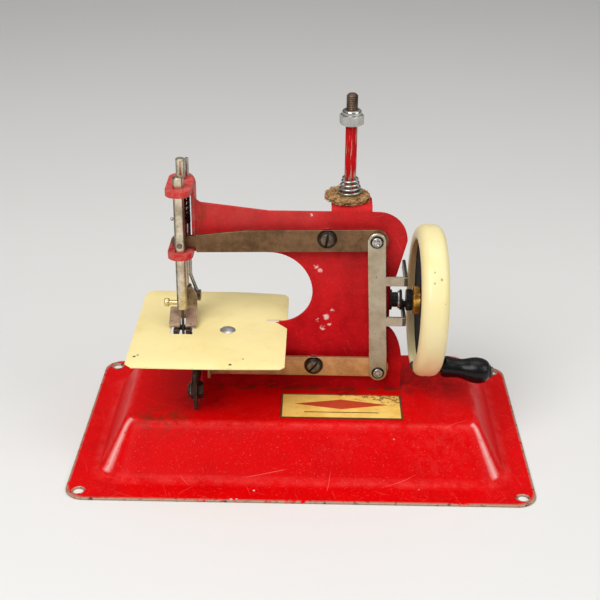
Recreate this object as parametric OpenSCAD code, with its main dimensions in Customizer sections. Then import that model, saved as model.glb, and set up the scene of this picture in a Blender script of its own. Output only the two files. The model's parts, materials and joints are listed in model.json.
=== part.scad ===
// Hand-cranked toy sewing machine on a pressed sheet-steel base.
// Millimetres, +X to the hand wheel, +Y to the back, +Z up, origin under the middle of the base.

/* [Base] */
// Base width, left to right
base_w = 210; // [190:1:240]
// Base depth, front to back
base_d = 127; // [112:1:150]
// Height of the plateau above the floor
base_h = 23.5; // [16:0.5:32]
// Sheet thickness of the pan
sheet_t = 1; // [0.6:0.1:1.6]
// Corner radius of the flange
base_corner_r = 9; // [4:0.5:14]
// Flange width at the two sides
flange_side_w = 11; // [9:0.5:16]
// Flange width at front and back
flange_end_w = 13.5; // [10:0.5:17]
// Horizontal run of the side slopes
slope_side_run = 13.4; // [6:0.2:20]
// Horizontal run of the front and back slopes
slope_end_run = 15.4; // [8:0.2:18]
// Corner radius at the foot of the slopes
foot_corner_r = 14; // [8:0.5:18]
// Corner radius of the plateau
plateau_corner_r = 8; // [4:0.5:12]
// Length of the soft crease on each side of the plateau's edge
crease_l = 3.4; // [1:0.2:6]
// Radius of the corner holes
hole_r = 2.5; // [1.5:0.1:3]
// Distance of the corner holes from the base's edges
hole_inset = 6.1; // [5:0.1:7]

/* [Name plate] */
// Width of the name plate
badge_w = 56.3; // [30:0.5:60]
// Depth of the name plate
badge_d = 22; // [12:0.5:22]
// Thickness of the name plate
badge_t = 0.4; // [0.2:0.1:0.8]
// Middle of the name plate, right of the base's middle
badge_x = 18.2; // [0:0.2:30]
// Middle of the name plate, in front of the base's middle
badge_y = 19; // [19:0.2:20]

/* [Frame] */
// Thickness of the frame's plate
plate_t = 1.5; // [1:0.1:2]
// Outer radius of the folds
fold_r = 2.6; // [2.2:0.1:4]
// Right edge of the column
column_x = 46.5; // [45:0.1:48]
// Width of the column's curved shoulder
shoulder_w = 10.5; // [9.5:0.1:12]
// Height of the column's curved shoulder
shoulder_h = 21; // [16:0.5:24]
// Height of the shoulder's start above the plateau
shoulder_up = 12.5; // [8:0.5:16]
// Right end of the throat
throat_x = 4; // [2:0.2:8]
// Height of the throat above the table
throat_h = 35; // [34:0.2:38]
// Radius of the throat's lower corner
throat_low_r = 15.5; // [8:0.5:16]
// Height of the upper arm
arm_h = 19.8; // [18:0.2:24]
// Rise of the arm's top edge towards the nose
nose_rise = 3.5; // [2:0.1:7]
// Where the top edge starts to rise, left of the middle
nose_rise_x = 16; // [8:0.5:24]
// Radius of the lobe at the right end of the arm
lobe_r = 13.5; // [8:0.5:16]
// Right edge of the lobe
lobe_x = 46.7; // [45:0.1:48]
// Height of the lobe's lower corner above the arm's lower edge, counted downwards
lobe_drop = 11.5; // [9:0.1:12]
// Set-back of the lobe's lower corner
lobe_cut = 4.5; // [3.5:0.1:5]
// Right edge of the notch at the crank
notch_x = 40; // [39:0.1:40.5]
// Depth of the foot flange
foot_d = 13.5; // [10:0.5:16]
// Set-in of the foot flange from the plate's ends
foot_inset = 3; // [1:0.5:6]

/* [Head] */
// Radius of the needle bar
bar_r = 2.4; // [2:0.1:2.5]
// Radius of the presser bar
presser_r = 2.1; // [1.8:0.1:2.4]
// Needle bar axis in front of the plate's front face
needle_y = 7; // [6.9:0.1:8]
// Presser bar axis behind the plate's front face
presser_y = 4.5; // [4.2:0.1:6]
// Width of the ears
ear_w = 11.4; // [10:0.2:13]
// Reach of the upper ear in front of the plate
ear_front = 13.5; // [11:0.5:16]
// Reach of the lower ear in front of the plate
ear_low_front = 12; // [10.5:0.5:15]
// Reach of the ears behind the plate's front face
ear_back = 13; // [11:0.5:16]
// Thickness of the ears
ear_t = 2.7; // [2:0.1:3]
// Height of the nose channel over both ears
nose_h = 33; // [31:0.5:36]
// Length of the needle bar
needle_bar_l = 63.5; // [58:0.5:70]
// Height of the needle bar's lower end above the table, needle down
needle_bar_up = 9.6; // [9:0.1:12]
// Radius of the needle
needle_r = 0.65; // [0.4:0.05:0.8]
// Reach of the needle's tip below the table's top, needle down
needle_dip = 7.5; // [4:0.5:9]
// Height of the needle bar's cross pin above the lower ear
pin_up = 3.5; // [3.4:0.1:3.8]
// Radius of the cross pin
pin_r = 1.2; // [0.8:0.1:1.3]
// Reach of the clamp screw to the left of the needle's axis
clamp_l = 8.2; // [7:0.2:10]
// Radius of the clamp screw's head
clamp_r = 1.9; // [1.5:0.1:2.6]
// Height of the presser bar's top above the upper ear
presser_up = 9.8; // [6:0.2:14]
// Free height of the presser spring between collar and upper ear
spring_h = 15.5; // [12:0.5:18]
// Wire radius of the presser spring
spring_wire_r = 0.4; // [0.3:0.05:0.5]
// Turns of the presser spring
spring_turns = 6; // [4:1:8]
// Height of the collar under the spring
collar_h = 2.2; // [1.6:0.1:3]
// Radius of the collar under the spring
collar_r = 3.8; // [3.2:0.1:3.9]
// Reach of the lift pin to the left of the presser bar's axis
lift_pin_l = 5.4; // [4.4:0.2:8]
// Radius of the lift pin
lift_pin_r = 0.8; // [0.5:0.1:1]
// Width of the presser foot
foot_w = 12.5; // [9:0.5:14]
// Reach of the presser foot's toe in front of the plate
toe_y = 9.4; // [9.2:0.1:12]
// Sheet thickness of the presser foot
foot_t = 1.2; // [0.8:0.1:1.5]
// Width of the slot in the presser foot
foot_slot_w = 2.6; // [2:0.1:4]
// Height of the presser's guide wire above the upper ear
wire_h = 8.5; // [6:0.5:14]
// Radius of the presser's guide wire
wire_r = 0.85; // [0.5:0.05:1.2]

/* [Table] */
// Height of the table's top above the plateau
table_h = 34.5; // [33.5:0.1:36]
// Width of the table
table_w = 70; // [60:0.5:74]
// Depth of the table
table_d = 78; // [66:0.5:84]
// Thickness of the table
table_t = 1.2; // [0.8:0.1:1.6]
// Middle of the table, right of the needle
table_dx = 13; // [10:0.2:16]
// Middle of the table, in front of the plate's front face
table_dy = 6; // [3:0.2:9]
// Cuts of the table's left corners, back and front
table_cut_left = [4, 3]; // [1:0.5:8]
// Cut of the table's front right corner
table_cut_right = 2; // [1:0.5:8]
// Radius of the table's back right corner
table_round = 5; // [2:0.5:8]
// Width of the needle opening
opening_w = 10.2; // [9.8:0.1:12]
// Depth of the needle opening
opening_d = 18.4; // [18:0.1:22]
// Length of the slit that the frame passes through
slit_l = 9.6; // [9.4:0.1:12]
// Rivet of the table, right of the needle
rivet_dx = 20.9; // [19:0.1:23]
// Rivet of the table, in front of the plate's front face
rivet_y = 9.9; // [9:0.1:11]
// Radius of the table rivet's dome
dome_r = 3.75; // [3:0.05:4.5]
// Height of the table rivet's dome
dome_h = 1.3; // [0.8:0.1:2]

/* [Levers] */
// Thickness of the levers and the link
lever_t = 1.5; // [1:0.1:1.6]
// Stand-off of the levers from the plate
lever_gap = 2.7; // [2.5:0.1:2.8]
// Needle lever pivot, right of the middle
pivot_x = 10.3; // [9:0.1:12]
// Needle lever pivot above the arm's lower edge
pivot_up = 8.6; // [8.2:0.1:9.2]
// Arm of the needle lever from pivot to needle
needle_reach = 65.8; // [65:0.1:66.4]
// Arm of the needle lever from pivot to link
rocker_l = 22.3; // [21.5:0.1:23]
// Height of the needle lever at its pivot
lever_h = 10.4; // [9.6:0.1:11.6]
// Height of the needle lever near the needle
lever_end_h = 8.2; // [7:0.1:9]
// Width of the link
link_w = 8.2; // [7.6:0.1:9]
// Looper lever pivot, right of the middle
looper_pivot_x = 5; // [3:0.1:7]
// Looper lever pivot above the plateau
looper_pivot_up = 13.7; // [13.2:0.1:14.2]
// Arm of the looper lever from pivot to link
looper_arm = 30.3; // [29.5:0.1:31.5]
// Drop of the link's lower rivet below the looper lever's pivot
link_drop = 2.7; // [2:0.1:3.2]
// Height of the looper lever
looper_lever_h = 9.8; // [9:0.1:10.6]
// Radius of the shoulder screws' shanks
screw_r = 2; // [1.5:0.1:2.4]
// Radius of the shoulder screws' heads
screw_head_r = 4; // [3.4:0.1:4.6]
// Height of the shoulder screws' heads
screw_head_h = 2; // [1.4:0.1:2.6]
// Radius of the link rivets' shanks
rivet_r = 1.6; // [1.2:0.1:1.8]
// Radius of the link rivets' heads
rivet_head_r = 2.3; // [2:0.1:3]

/* [Yoke] */
// Height of the yoke's arms
yoke_arm_h = 4.4; // [4:0.1:5]
// Height of the slot between the arms
yoke_slot_h = 15.9; // [15:0.1:17]
// Depth of the yoke's flanges, front to back
yoke_flange_d = 20.8; // [18:0.2:24]

/* [Drive] */
// Shaft axis behind the plate's front face
shaft_y = 5.5; // [5.4:0.1:6.4]
// Shaft axis above the table's top
shaft_up = 9.5; // [9:0.1:10.2]
// Radius of the main shaft
shaft_r = 2.2; // [1.8:0.1:2.4]
// Throw of the crank pin
throw = 2.2; // [1.8:0.1:2.4]
// Radius of the crank pin
crank_pin_r = 1.5; // [1.2:0.1:1.7]
// Radius of the crankshaft's collar
shaft_collar_r = 4.8; // [4.4:0.1:5.4]
// Length of the crankshaft's collar
shaft_collar_l = 3; // [2.6:0.1:4]
// Outer radius of the bearing bush
bush_r = 3.5; // [3:0.1:3.8]
// Length of the bearing bush behind the plate
bush_l = 14; // [8:0.5:16]
// Outer radius of the hand wheel
wheel_r = 35.5; // [32:0.1:37]
// Width of the hand wheel's rim
wheel_w = 12.5; // [11:0.1:15]
// Radial thickness of the rim
rim_t = 7; // [6.4:0.1:8]
// Radius of the rim's outer shoulders
rim_shoulder_r = 4.5; // [2:0.1:5]
// Thickness of the wheel's disc
disc_t = 1.6; // [1:0.1:2.4]
// Set-back of the disc from the rim's inner side
disc_inset = 2.6; // [2.2:0.1:3.4]
// Radius of the brass hub across its corners
hub_r = 7; // [6:0.1:8]
// Crank radius of the knob
knob_crank = 30.6; // [30:0.1:31.4]
// Turn of the knob from straight below the shaft towards the front
knob_turn = 28; // [0:1:60]
// Splay of the knob, away from the wheel's axis
knob_splay = 6; // [0:0.5:8]
// Length of the knob
knob_l = 22.7; // [18:0.1:28]
// Largest radius of the knob
knob_r = 6.1; // [5:0.1:7]
// Radius of the knob's bolt
knob_bolt_r = 1.8; // [1.4:0.1:2]

/* [Looper] */
// Looper bracket's outer face, right of the needle
bracket_dx = 6; // [5.6:0.1:6.4]
// Pivot of the looper in front of the plate's front face
looper_y = 20; // [19:0.1:21]
// Pivot of the looper above the plateau
looper_up = 8.5; // [8:0.1:9.5]
// Drive pin of the looper lever in front of the plate's front face
drive_y = 8; // [7.8:0.1:8.6]
// Reach of the looper's hook from its pivot
hook_l = 16; // [13:0.2:17]

/* [Spool] */
// Spool pin, right of the middle
spool_x = 20.2; // [16:0.1:24]
// Spool pin behind the plate's front face
spool_y = 8; // [7:0.1:9]
// Height of the spool pin above its ear
spool_h = 49.7; // [40:0.1:60]
// Radius of the spool pin
spool_r = 2.6; // [2:0.1:3]
// Width of the spool ear
spool_ear_w = 18.4; // [13:0.2:20]
// Depth of the spool ear
spool_ear_d = 17; // [14:0.2:20]
// Height of the spool ear above the arm's top edge
spool_ear_up = 2.7; // [2.6:0.1:5]
// Radius of the felt washer
felt_r = 10; // [7:0.2:12]
// Thickness of the felt washer
felt_t = 3.2; // [2:0.1:5]
// Shift of the felt washer to the left of the spool pin
felt_left = 1.4; // [0:0.1:3]
// Shift of the felt washer behind the spool pin
felt_behind = 1.6; // [0:0.1:3]
// Height of the lock nut's lower face above the ear
lock_nut_up = 35.8; // [20:0.2:40]
// Radius of the lock nut across its corners
nut_r = 5.5; // [4.6:0.1:6.5]
// Height of the lock nut's hexagon
nut_h = 4.7; // [4:0.1:7]
// Wire radius of the tension spring
tension_wire_r = 0.4; // [0.3:0.05:0.6]
// Turns of the tension spring
tension_turns = 4; // [3:1:6]
// Height of the tension spring
tension_h = 7.4; // [5:0.2:10]
// Coil radius of the tension spring at the felt
tension_low_r = 5.2; // [4.6:0.1:7]

/* [Fits] */
// Radial clearance of shafts and pins in their bores
run_fit = 0.05; // [0.02:0.01:0.1]
// Gap between flat faces that slide past each other
slide_gap = 0.1; // [0.05:0.05:0.2]
// Gap between pieces that pass without touching
clear = 0.3; // [0.2:0.05:0.5]
// Radial clearance of the link's lower rivet in the looper lever
loop_fit = 0.15; // [0.1:0.01:0.2]

/* [Hidden] */
$fn = 64;
hull_fn = 32;
arc_steps = 16;

// Overrun of every cut past the faces it opens
cut = 1;
// Thickness of the slices that a drafted shell is spanned between
slice = 0.01;

// Heights of the main faces above the floor
table_z = base_h + table_h;
table_under_z = table_z - table_t;
arm_z = table_z + throat_h;
arm_top_z = arm_z + arm_h;
ear_low_z = arm_z + ear_t;
ear_high_z = arm_z + nose_h;
ear_under_z = ear_high_z - ear_t;
pivot_z = arm_z + pivot_up;
pin_z = ear_low_z + pin_up;
looper_pivot_z = base_h + looper_pivot_up;
shaft_z = table_z + shaft_up;
spool_z = arm_top_z + spool_ear_up;
feed_top_z = table_under_z - plate_t - slide_gap;

// Places along the width
needle_x = pivot_x - needle_reach;
link_x = pivot_x + rocker_l;
link_sink = 0.6;
link_z = pivot_z - link_sink;
link_low_x = looper_pivot_x + looper_arm;
link_low_z = looper_pivot_z - link_drop;
web_gap = 2.5;
web_x = needle_x + bar_r + web_gap;
frame_left_x = needle_x + bracket_dx + lever_t;
rivet_x = needle_x + rivet_dx;

// Planes of the levers, front to back
lever_y = -lever_gap - lever_t;
link_y = lever_y - slide_gap - lever_t;

// Rivets and nuts
foot_rivet_r = 1.5;
foot_rivet_head_r = 2.8;
foot_rivet_head_h = 1.2;
foot_rivet_x_shares = [-0.72, 0, 0.72];
small_nut_r = 4;
small_nut_h = 2.4;
spacer_r = 3.4;
slot_w = 0.9;
needle_slot_turn = 80;
looper_slot_turn = 50;
slot_d = 0.9;

// Two-dimensional rectangle with true round corners, about its middle
module round_rect(w, d, r) {
  square([w - 2 * r, d], center = true);
  square([w, d - 2 * r], center = true);
  for (sx = [-1, 1], sy = [-1, 1])
    translate([sx * (w / 2 - r), sy * (d / 2 - r)]) circle(r);
}

// Two-dimensional bar with round ends, from the origin along +X
module capsule(l, r) {
  translate([0, -r]) square([l, 2 * r]);
  circle(r);
  translate([l, 0]) circle(r);
}

// Two-dimensional fold: a leg up to height a, then a leg out to reach b
module fold(a, b, t, r) {
  square([t, a - r]);
  translate([r, a - t]) square([b - r, t]);
  translate([r, a - r]) intersection() {
    difference() {
      circle(r);
      circle(r - t);
    }
    translate([-r, 0]) square(r);
  }
}

// Plate in the XZ plane from y towards the back
module upright(y, t) {
  translate([0, y + t, 0]) rotate([90, 0, 0]) linear_extrude(t) children();
}

// Plate in the YZ plane from x towards the right
module sideways(x, t) {
  translate([x, 0, 0]) rotate([90, 0, 90]) linear_extrude(t) children();
}

// Level plate from z upwards
module level(z, t) {
  translate([0, 0, z]) linear_extrude(t) children();
}

module rod_x(r, l) {
  rotate([0, 90, 0]) cylinder(r = r, h = l);
}

module rod_y(r, l) {
  rotate([-90, 0, 0]) cylinder(r = r, h = l);
}

// Spherical cap on the XY plane
module dome(r, h) {
  ball_r = (r * r + h * h) / (2 * h);
  rotate_extrude() intersection() {
    translate([0, h - ball_r]) circle(ball_r);
    square([r, h]);
  }
}

// Points of an arc about c
function arc(c, rx, ry, from, to, n = arc_steps) =
  [for (i = [0 : n]) let (a = from + (to - from) * i / n) [c[0] + rx * cos(a), c[1] + ry * sin(a)]];

// Wound wire: one unbroken tube of six sides, eight rings a turn, with a short straight lead at each end
wire_sides = 6;
rings_per_turn = 8;

function coil_point(u, turns, r0, r1, z0, z1) =
  let (a = 360 * turns * u, r = r0 + (r1 - r0) * u)
  [r * cos(a), r * sin(a), z0 + (z1 - z0) * u];

function unit(v) = v / norm(v);

function coil_path(turns, r0, r1, z0, z1, wire_r) =
  let (
    n = turns * rings_per_turn,
    wound = [for (i = [0 : n]) coil_point(i / n, turns, r0, r1, z0, z1)],
    lead = 2 * wire_r
  )
  concat(
    [wound[0] + lead * unit([0, -1, 0])],
    wound,
    [wound[n] + lead * unit([0, 1, 0])]
  );

function tube_ring(path, i, wire_r) =
  let (
    last = len(path) - 1,
    ahead = unit(path[min(i + 1, last)] - path[max(i - 1, 0)]),
    side = unit(cross(ahead, [0, 0, 1])),
    up = cross(side, ahead)
  )
  [for (k = [0 : wire_sides - 1])
    let (a = 360 * k / wire_sides) path[i] + wire_r * (cos(a) * side + sin(a) * up)];

// Least gap between the wire and itself, measured between points at least half a turn apart
function coil_self_gap(path, wire_r) =
  min([for (i = [0 : len(path) - 1], j = [i + rings_per_turn / 2 : 1 : len(path) - 1])
    norm(path[i] - path[j])]) - 2 * wire_r;

module coil(name, turns, r0, r1, z0, z1, wire_r) {
  path = coil_path(turns, r0, r1, z0, z1, wire_r);
  echo(str(name, " least gap to itself, mm"), coil_self_gap(path, wire_r));
  count = len(path);
  points = [for (i = [0 : count - 1]) each tube_ring(path, i, wire_r)];
  walls = [for (i = [0 : count - 2], k = [0 : wire_sides - 1])
    let (
      a = i * wire_sides + k,
      b = i * wire_sides + (k + 1) % wire_sides,
      c = a + wire_sides,
      d = b + wire_sides
    )
    each [[a, c, b], [b, c, d]]];
  first = [for (k = [1 : wire_sides - 2]) [0, k, k + 1]];
  base = (count - 1) * wire_sides;
  final = [for (k = [1 : wire_sides - 2]) [base, base + k + 1, base + k]];
  polyhedron(points, concat(walls, first, final));
}

// Outline of the drafted pan at a level: the crease runs along a curve from the slope to the plateau
crease_steps = 4;

function crease_point(t, foot, run, h) =
  let (
    slope_l = sqrt(run * run + h * h),
    low = [foot - run + crease_l * run / slope_l, h - crease_l * h / slope_l],
    corner = [foot - run, h],
    inner = [foot - run - crease_l, h]
  )
  (1 - t) * (1 - t) * low + 2 * t * (1 - t) * corner + t * t * inner;

module pan_slice(half_w, half_d, r, z) {
  for (sx = [-1, 1], sy = [-1, 1])
    translate([sx * (half_w - r), sy * (half_d - r), z]) cylinder(r = r, h = slice, $fn = hull_fn);
}

// Drafted block of the plateau, taken in by a wall
module plateau_block(wall) {
  half_w = base_w / 2 - flange_side_w - wall;
  half_d = base_d / 2 - flange_end_w - wall;
  h = base_h - wall;
  hull() {
    pan_slice(half_w, half_d, foot_corner_r, wall > 0 ? -cut : 0);
    pan_slice(half_w, half_d, foot_corner_r, 0);
    for (i = [0 : crease_steps]) {
      t = i / crease_steps;
      px = crease_point(t, half_w, slope_side_run, h);
      py = crease_point(t, half_d, slope_end_run, h);
      pan_slice(px[0], py[0], plateau_corner_r, px[1] - slice);
    }
  }
}

// Rivets through the frame's foot
function foot_rivet_x(i) =
  let (left = frame_left_x + foot_inset, right = column_x - foot_inset)
  (left + right) / 2 + foot_rivet_x_shares[i] * (right - left) / 2;
foot_rivet_y = (plate_t + foot_d) / 2;

module base_pan() {
  color("firebrick") difference() {
    union() {
      level(0, sheet_t) round_rect(base_w, base_d, base_corner_r);
      plateau_block(0);
    }
    plateau_block(sheet_t);
    for (sx = [-1, 1], sy = [-1, 1])
      translate([sx * (base_w / 2 - hole_inset), sy * (base_d / 2 - hole_inset), -cut])
        cylinder(r = hole_r, h = sheet_t + 2 * cut);
    for (i = [0 : len(foot_rivet_x_shares) - 1])
      translate([foot_rivet_x(i), foot_rivet_y, base_h - sheet_t - cut])
        cylinder(r = foot_rivet_r + run_fit, h = sheet_t + 2 * cut);
  }
}

module name_plate() {
  color("goldenrod") level(base_h, badge_t) translate([badge_x, -badge_y])
    square([badge_w, badge_d], center = true);
}

// Front outline of the frame's flat plate
throat_sink = 0.5;
throat_up_r = throat_h - throat_low_r + throat_sink;
nose_fillet_r = 3.6;
web_right_x = web_x + plate_t;
nose_top_z = arm_top_z + nose_rise;
notch_low_share = (notch_x - column_x + shoulder_w) / shoulder_w;
shoulder_z = base_h + shoulder_up;
throat_low_z = table_z - throat_sink;

module frame_outline() {
  polygon(concat(
    [
      [frame_left_x, base_h],
      [frame_left_x, table_under_z],
      [throat_x - throat_low_r, table_under_z]
    ],
    arc([throat_x - throat_low_r, throat_low_z + throat_low_r], throat_low_r, throat_low_r, 270, 360),
    arc([throat_x - throat_up_r, arm_z - throat_up_r], throat_up_r, throat_up_r, 0, 90),
    [
      [web_right_x - nose_fold_r, arm_z],
      [web_x, arm_z + nose_fold_r],
      [web_x, ear_high_z - nose_fold_r],
      [web_right_x, ear_high_z - nose_fold_r]
    ],
    arc([web_right_x + nose_fillet_r, nose_top_z + nose_fillet_r], nose_fillet_r, nose_fillet_r, 180, 270),
    [[-nose_rise_x, arm_top_z]],
    arc([lobe_x - lobe_r, arm_top_z - lobe_r], lobe_r, lobe_r, 90, 0),
    [
      [lobe_x - lobe_cut, arm_z - lobe_drop],
      [notch_x - plate_t, arm_z - lobe_drop]
    ],
    [[notch_x - plate_t, shoulder_z + shoulder_h * sin(acos(notch_low_share))]],
    arc([column_x - shoulder_w, shoulder_z], shoulder_w, shoulder_h, acos(notch_low_share), 0),
    [[column_x, base_h]]
  ));
}

// Nose: a channel of web and two ears behind the needle lever, from which two round tabs reach to the front
ear_corner_r = 5.4;
nose_fold_r = 4;
ear_x0 = needle_x - ear_w / 2;
lever_slot_gap = 1;
web_front_y = lever_y + lever_t + lever_slot_gap;

module nose_channel() {
  reach = web_right_x - ear_x0;
  channel_d = ear_back - web_front_y;
  intersection() {
    difference() {
      upright(web_front_y, channel_d) translate([ear_x0, arm_z]) half_round(reach, nose_h, nose_fold_r);
      upright(web_front_y - cut, channel_d + 2 * cut) translate([ear_x0 - cut, ear_low_z])
        half_round(reach - plate_t + cut, nose_h - 2 * ear_t, nose_fold_r - plate_t);
    }
    level(arm_z - cut, nose_h + 2 * cut) translate([ear_x0 + reach / 2, (ear_back - ear_front) / 2])
      round_rect(reach, ear_front + ear_back, ear_corner_r);
  }
  ear_tab(arm_z, ear_low_front);
  ear_tab(ear_under_z, ear_front);
}

// Front part of an ear, round in front and rooted in the channel behind it
module ear_tab(z, front) {
  tab_l = front + web_front_y + 2 * ear_corner_r;
  level(z, ear_t) translate([needle_x, tab_l / 2 - front]) round_rect(ear_w, tab_l, ear_corner_r);
}

// Two-dimensional rectangle from the origin, with its two right corners round
module half_round(w, h, r) {
  square([w - r, h]);
  translate([w - r, r]) square([r, h - 2 * r]);
  for (z = [r, h - r])
    translate([w - r, z]) circle(r);
}

// Folded tabs of the frame: foot, spool ear, bearing tab and table tab
tab_w = 14;
tab_reach = 17;
tab_root_l = 6;
bearing_tab_h = 22;
bearing_tab_d = 13;

module foot_flange() {
  l = column_x - frame_left_x - 2 * foot_inset;
  sideways(frame_left_x + foot_inset, l) translate([0, base_h + tab_root_l]) mirror([0, 1])
    fold(tab_root_l, foot_d, plate_t, fold_r);
}

module spool_ear() {
  intersection() {
    sideways(ear_mid_x - spool_ear_w / 2, spool_ear_w) translate([0, spool_z - tab_root_l])
      fold(tab_root_l, spool_ear_d, plate_t, fold_r);
    level(spool_z - tab_root_l - cut, tab_root_l + 2 * cut)
      translate([ear_mid_x, spool_ear_d / 2 - spool_ear_r])
      round_rect(spool_ear_w, spool_ear_d + 2 * spool_ear_r, spool_ear_r);
  }
}

ear_shift = 1;
ear_mid_x = spool_x + ear_shift;
spool_ear_r = 6;

module bearing_tab() {
  translate([notch_x - tab_root_l, 0, shaft_z - bearing_tab_h / 2]) linear_extrude(bearing_tab_h)
    mirror([1, 0]) rotate(90) fold(tab_root_l, bearing_tab_d, plate_t, fold_r);
}

module table_tab() {
  sideways(rivet_x - tab_w / 2, tab_w) translate([plate_t, table_under_z - tab_root_l]) mirror([1, 0])
    fold(tab_root_l, tab_reach + plate_t, plate_t, fold_r);
}

module frame_plate() {
  color("crimson") difference() {
    union() {
      upright(0, plate_t) frame_outline();
      nose_channel();
      foot_flange();
      spool_ear();
      bearing_tab();
      table_tab();
    }
    for (z = [arm_z, ear_under_z]) {
      translate([needle_x, -needle_y, z - cut]) cylinder(r = bar_r + run_fit, h = ear_t + 2 * cut);
      translate([needle_x, presser_y, z - cut]) cylinder(r = presser_r + run_fit, h = ear_t + 2 * cut);
      translate([guide_x, guide_y, z - cut]) cylinder(r = wire_r + run_fit, h = ear_t + 2 * cut);
    }
    for (p = [[pivot_x, pivot_z], [looper_pivot_x, looper_pivot_z]])
      translate([p[0], -cut, p[1]]) rod_y(screw_r + run_fit, plate_t + 2 * cut);
    for (z = bracket_rivet_z)
      translate([bracket_rivet_x, -cut, z]) rod_y(foot_rivet_r + run_fit, plate_t + 2 * cut);
    translate([spool_x, spool_y, spool_z - plate_t - cut])
      cylinder(r = spool_r + run_fit, h = plate_t + 2 * cut);
    translate([notch_x - plate_t - cut, shaft_y, shaft_z]) rod_x(bush_r + run_fit, plate_t + 2 * cut);
    translate([rivet_x, -rivet_y, table_under_z - plate_t - cut])
      cylinder(r = screw_r + run_fit, h = plate_t + 2 * cut);
    for (i = [0 : len(foot_rivet_x_shares) - 1])
      translate([foot_rivet_x(i), foot_rivet_y, base_h - cut])
        cylinder(r = foot_rivet_r + run_fit, h = plate_t + 2 * cut);
  }
}

module foot_rivets() {
  color("dimgray") for (i = [0 : len(foot_rivet_x_shares) - 1])
    translate([foot_rivet_x(i), foot_rivet_y, 0]) {
      translate([0, 0, base_h - sheet_t - foot_rivet_head_h])
        cylinder(r = foot_rivet_head_r, h = foot_rivet_head_h);
      translate([0, 0, base_h - sheet_t]) cylinder(r = foot_rivet_r, h = sheet_t + plate_t);
      translate([0, 0, base_h + plate_t]) dome(foot_rivet_head_r, foot_rivet_head_h);
    }
}

// Table with its needle opening, the frame's slit and a corner cut beside the slit
opening_shift = 0.2;
opening_back = 1.6;
opening_mid_y = -needle_y + opening_back;
slit_cut = 6.4;

module work_table() {
  mid_x = needle_x + table_dx;
  right_x = mid_x + table_w / 2;
  hw = table_w / 2;
  hd = table_d / 2;
  color("khaki") difference() {
    level(table_under_z, table_t) difference() {
      translate([mid_x, -table_dy]) polygon(concat(
        [
          [-hw + table_cut_left[0], hd], [-hw, hd - table_cut_left[0]],
          [-hw, -hd + table_cut_left[1]], [-hw + table_cut_left[1], -hd],
          [hw - table_cut_right, -hd], [hw, -hd + table_cut_right]
        ],
        arc([hw - table_round, hd - table_round], table_round, table_round, 0, 90)
      ));
      translate([right_x - slit_l, -clear]) square([slit_l + cut, plate_t + 2 * clear]);
      polygon([
        [right_x - slit_cut, -clear], [right_x + cut, -clear], [right_x + cut, -slit_cut - cut],
        [right_x, -slit_cut]
      ]);
      translate([needle_x - opening_shift, opening_mid_y]) square([opening_w, opening_d], center = true);
    }
    translate([rivet_x, -rivet_y, table_under_z - cut])
      cylinder(r = screw_r + run_fit, h = table_t + 2 * cut);
  }
}

feed_t = 1.2;
tail_r = 3.2;
tail_h = 1.2;

module table_rivet() {
  color("lightsteelblue") translate([rivet_x, -rivet_y, 0]) {
    translate([0, 0, table_z]) dome(dome_r, dome_h);
    shank_z = feed_top_z - feed_t - slide_gap;
    translate([0, 0, shank_z]) cylinder(r = screw_r, h = table_z - shank_z);
    translate([0, 0, shank_z - tail_h]) cylinder(r = tail_r, h = tail_h);
  }
}

// Feed lever: swings on the table's rivet and carries two tongues in the needle opening
feed_r = 5;
feed_arm_w = 6;
tongue_side = 1.2;
tongue_d = 12;
tongue_rise = 0.3;
needle_gap_w = 3.4;
cross_d = 3.6;

module feed_lever() {
  x0 = needle_x - opening_shift - opening_w / 2 + tongue_side;
  w = opening_w - 2 * tongue_side;
  tongue_w = (w - needle_gap_w) / 2;
  y1 = opening_mid_y + tongue_d / 2;
  z0 = feed_top_z - feed_t;
  color("saddlebrown") difference() {
    union() {
      level(z0, feed_t) {
        translate([rivet_x, -rivet_y]) circle(feed_r);
        translate([x0 + w - tongue_w, -rivet_y - feed_arm_w / 2])
          square([rivet_x - x0 - w + tongue_w, feed_arm_w]);
        translate([x0, y1 - cross_d]) square([w, cross_d]);
      }
      for (x = [x0, x0 + w - tongue_w])
        level(z0, table_z + tongue_rise - z0) translate([x, y1 - tongue_d]) square([tongue_w, tongue_d]);
    }
    translate([rivet_x, -rivet_y, z0 - cut]) cylinder(r = screw_r + run_fit, h = feed_t + 2 * cut);
  }
}

// Needle bar with its cross pin, needle and clamp screw
needle_bar_z = table_z + needle_bar_up;
needle_in = 8;
clamp_up = 2.7;
clamp_shank_r = 1.1;
clamp_head_l = 2.3;
needle_tip_l = 4;
bar_chamfer = 0.4;

module round_bar(r, l) {
  rotate_extrude() polygon([
    [0, 0], [r, 0], [r, l - bar_chamfer], [r - bar_chamfer, l], [0, l]
  ]);
}

module needle_bar() {
  color("silver") difference() {
    translate([needle_x, -needle_y, needle_bar_z]) round_bar(bar_r, needle_bar_l);
    translate([needle_x, -needle_y, needle_bar_z - cut])
      cylinder(r = needle_r + run_fit, h = needle_in + cut);
    translate([needle_x - bar_r - cut, -needle_y, needle_bar_z + clamp_up])
      rod_x(clamp_shank_r + run_fit, bar_r + cut - needle_r);
    translate([needle_x, -needle_y - bar_r - cut, pin_z]) rod_y(pin_r + run_fit, 2 * (bar_r + cut));
  }
}

module needle() {
  tip_z = table_z - needle_dip;
  color("gainsboro") translate([needle_x, -needle_y, tip_z]) {
    cylinder(r1 = needle_r / 4, r2 = needle_r, h = needle_tip_l);
    translate([0, 0, needle_tip_l])
      cylinder(r = needle_r, h = needle_bar_z + needle_in - tip_z - needle_tip_l);
  }
}

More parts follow.
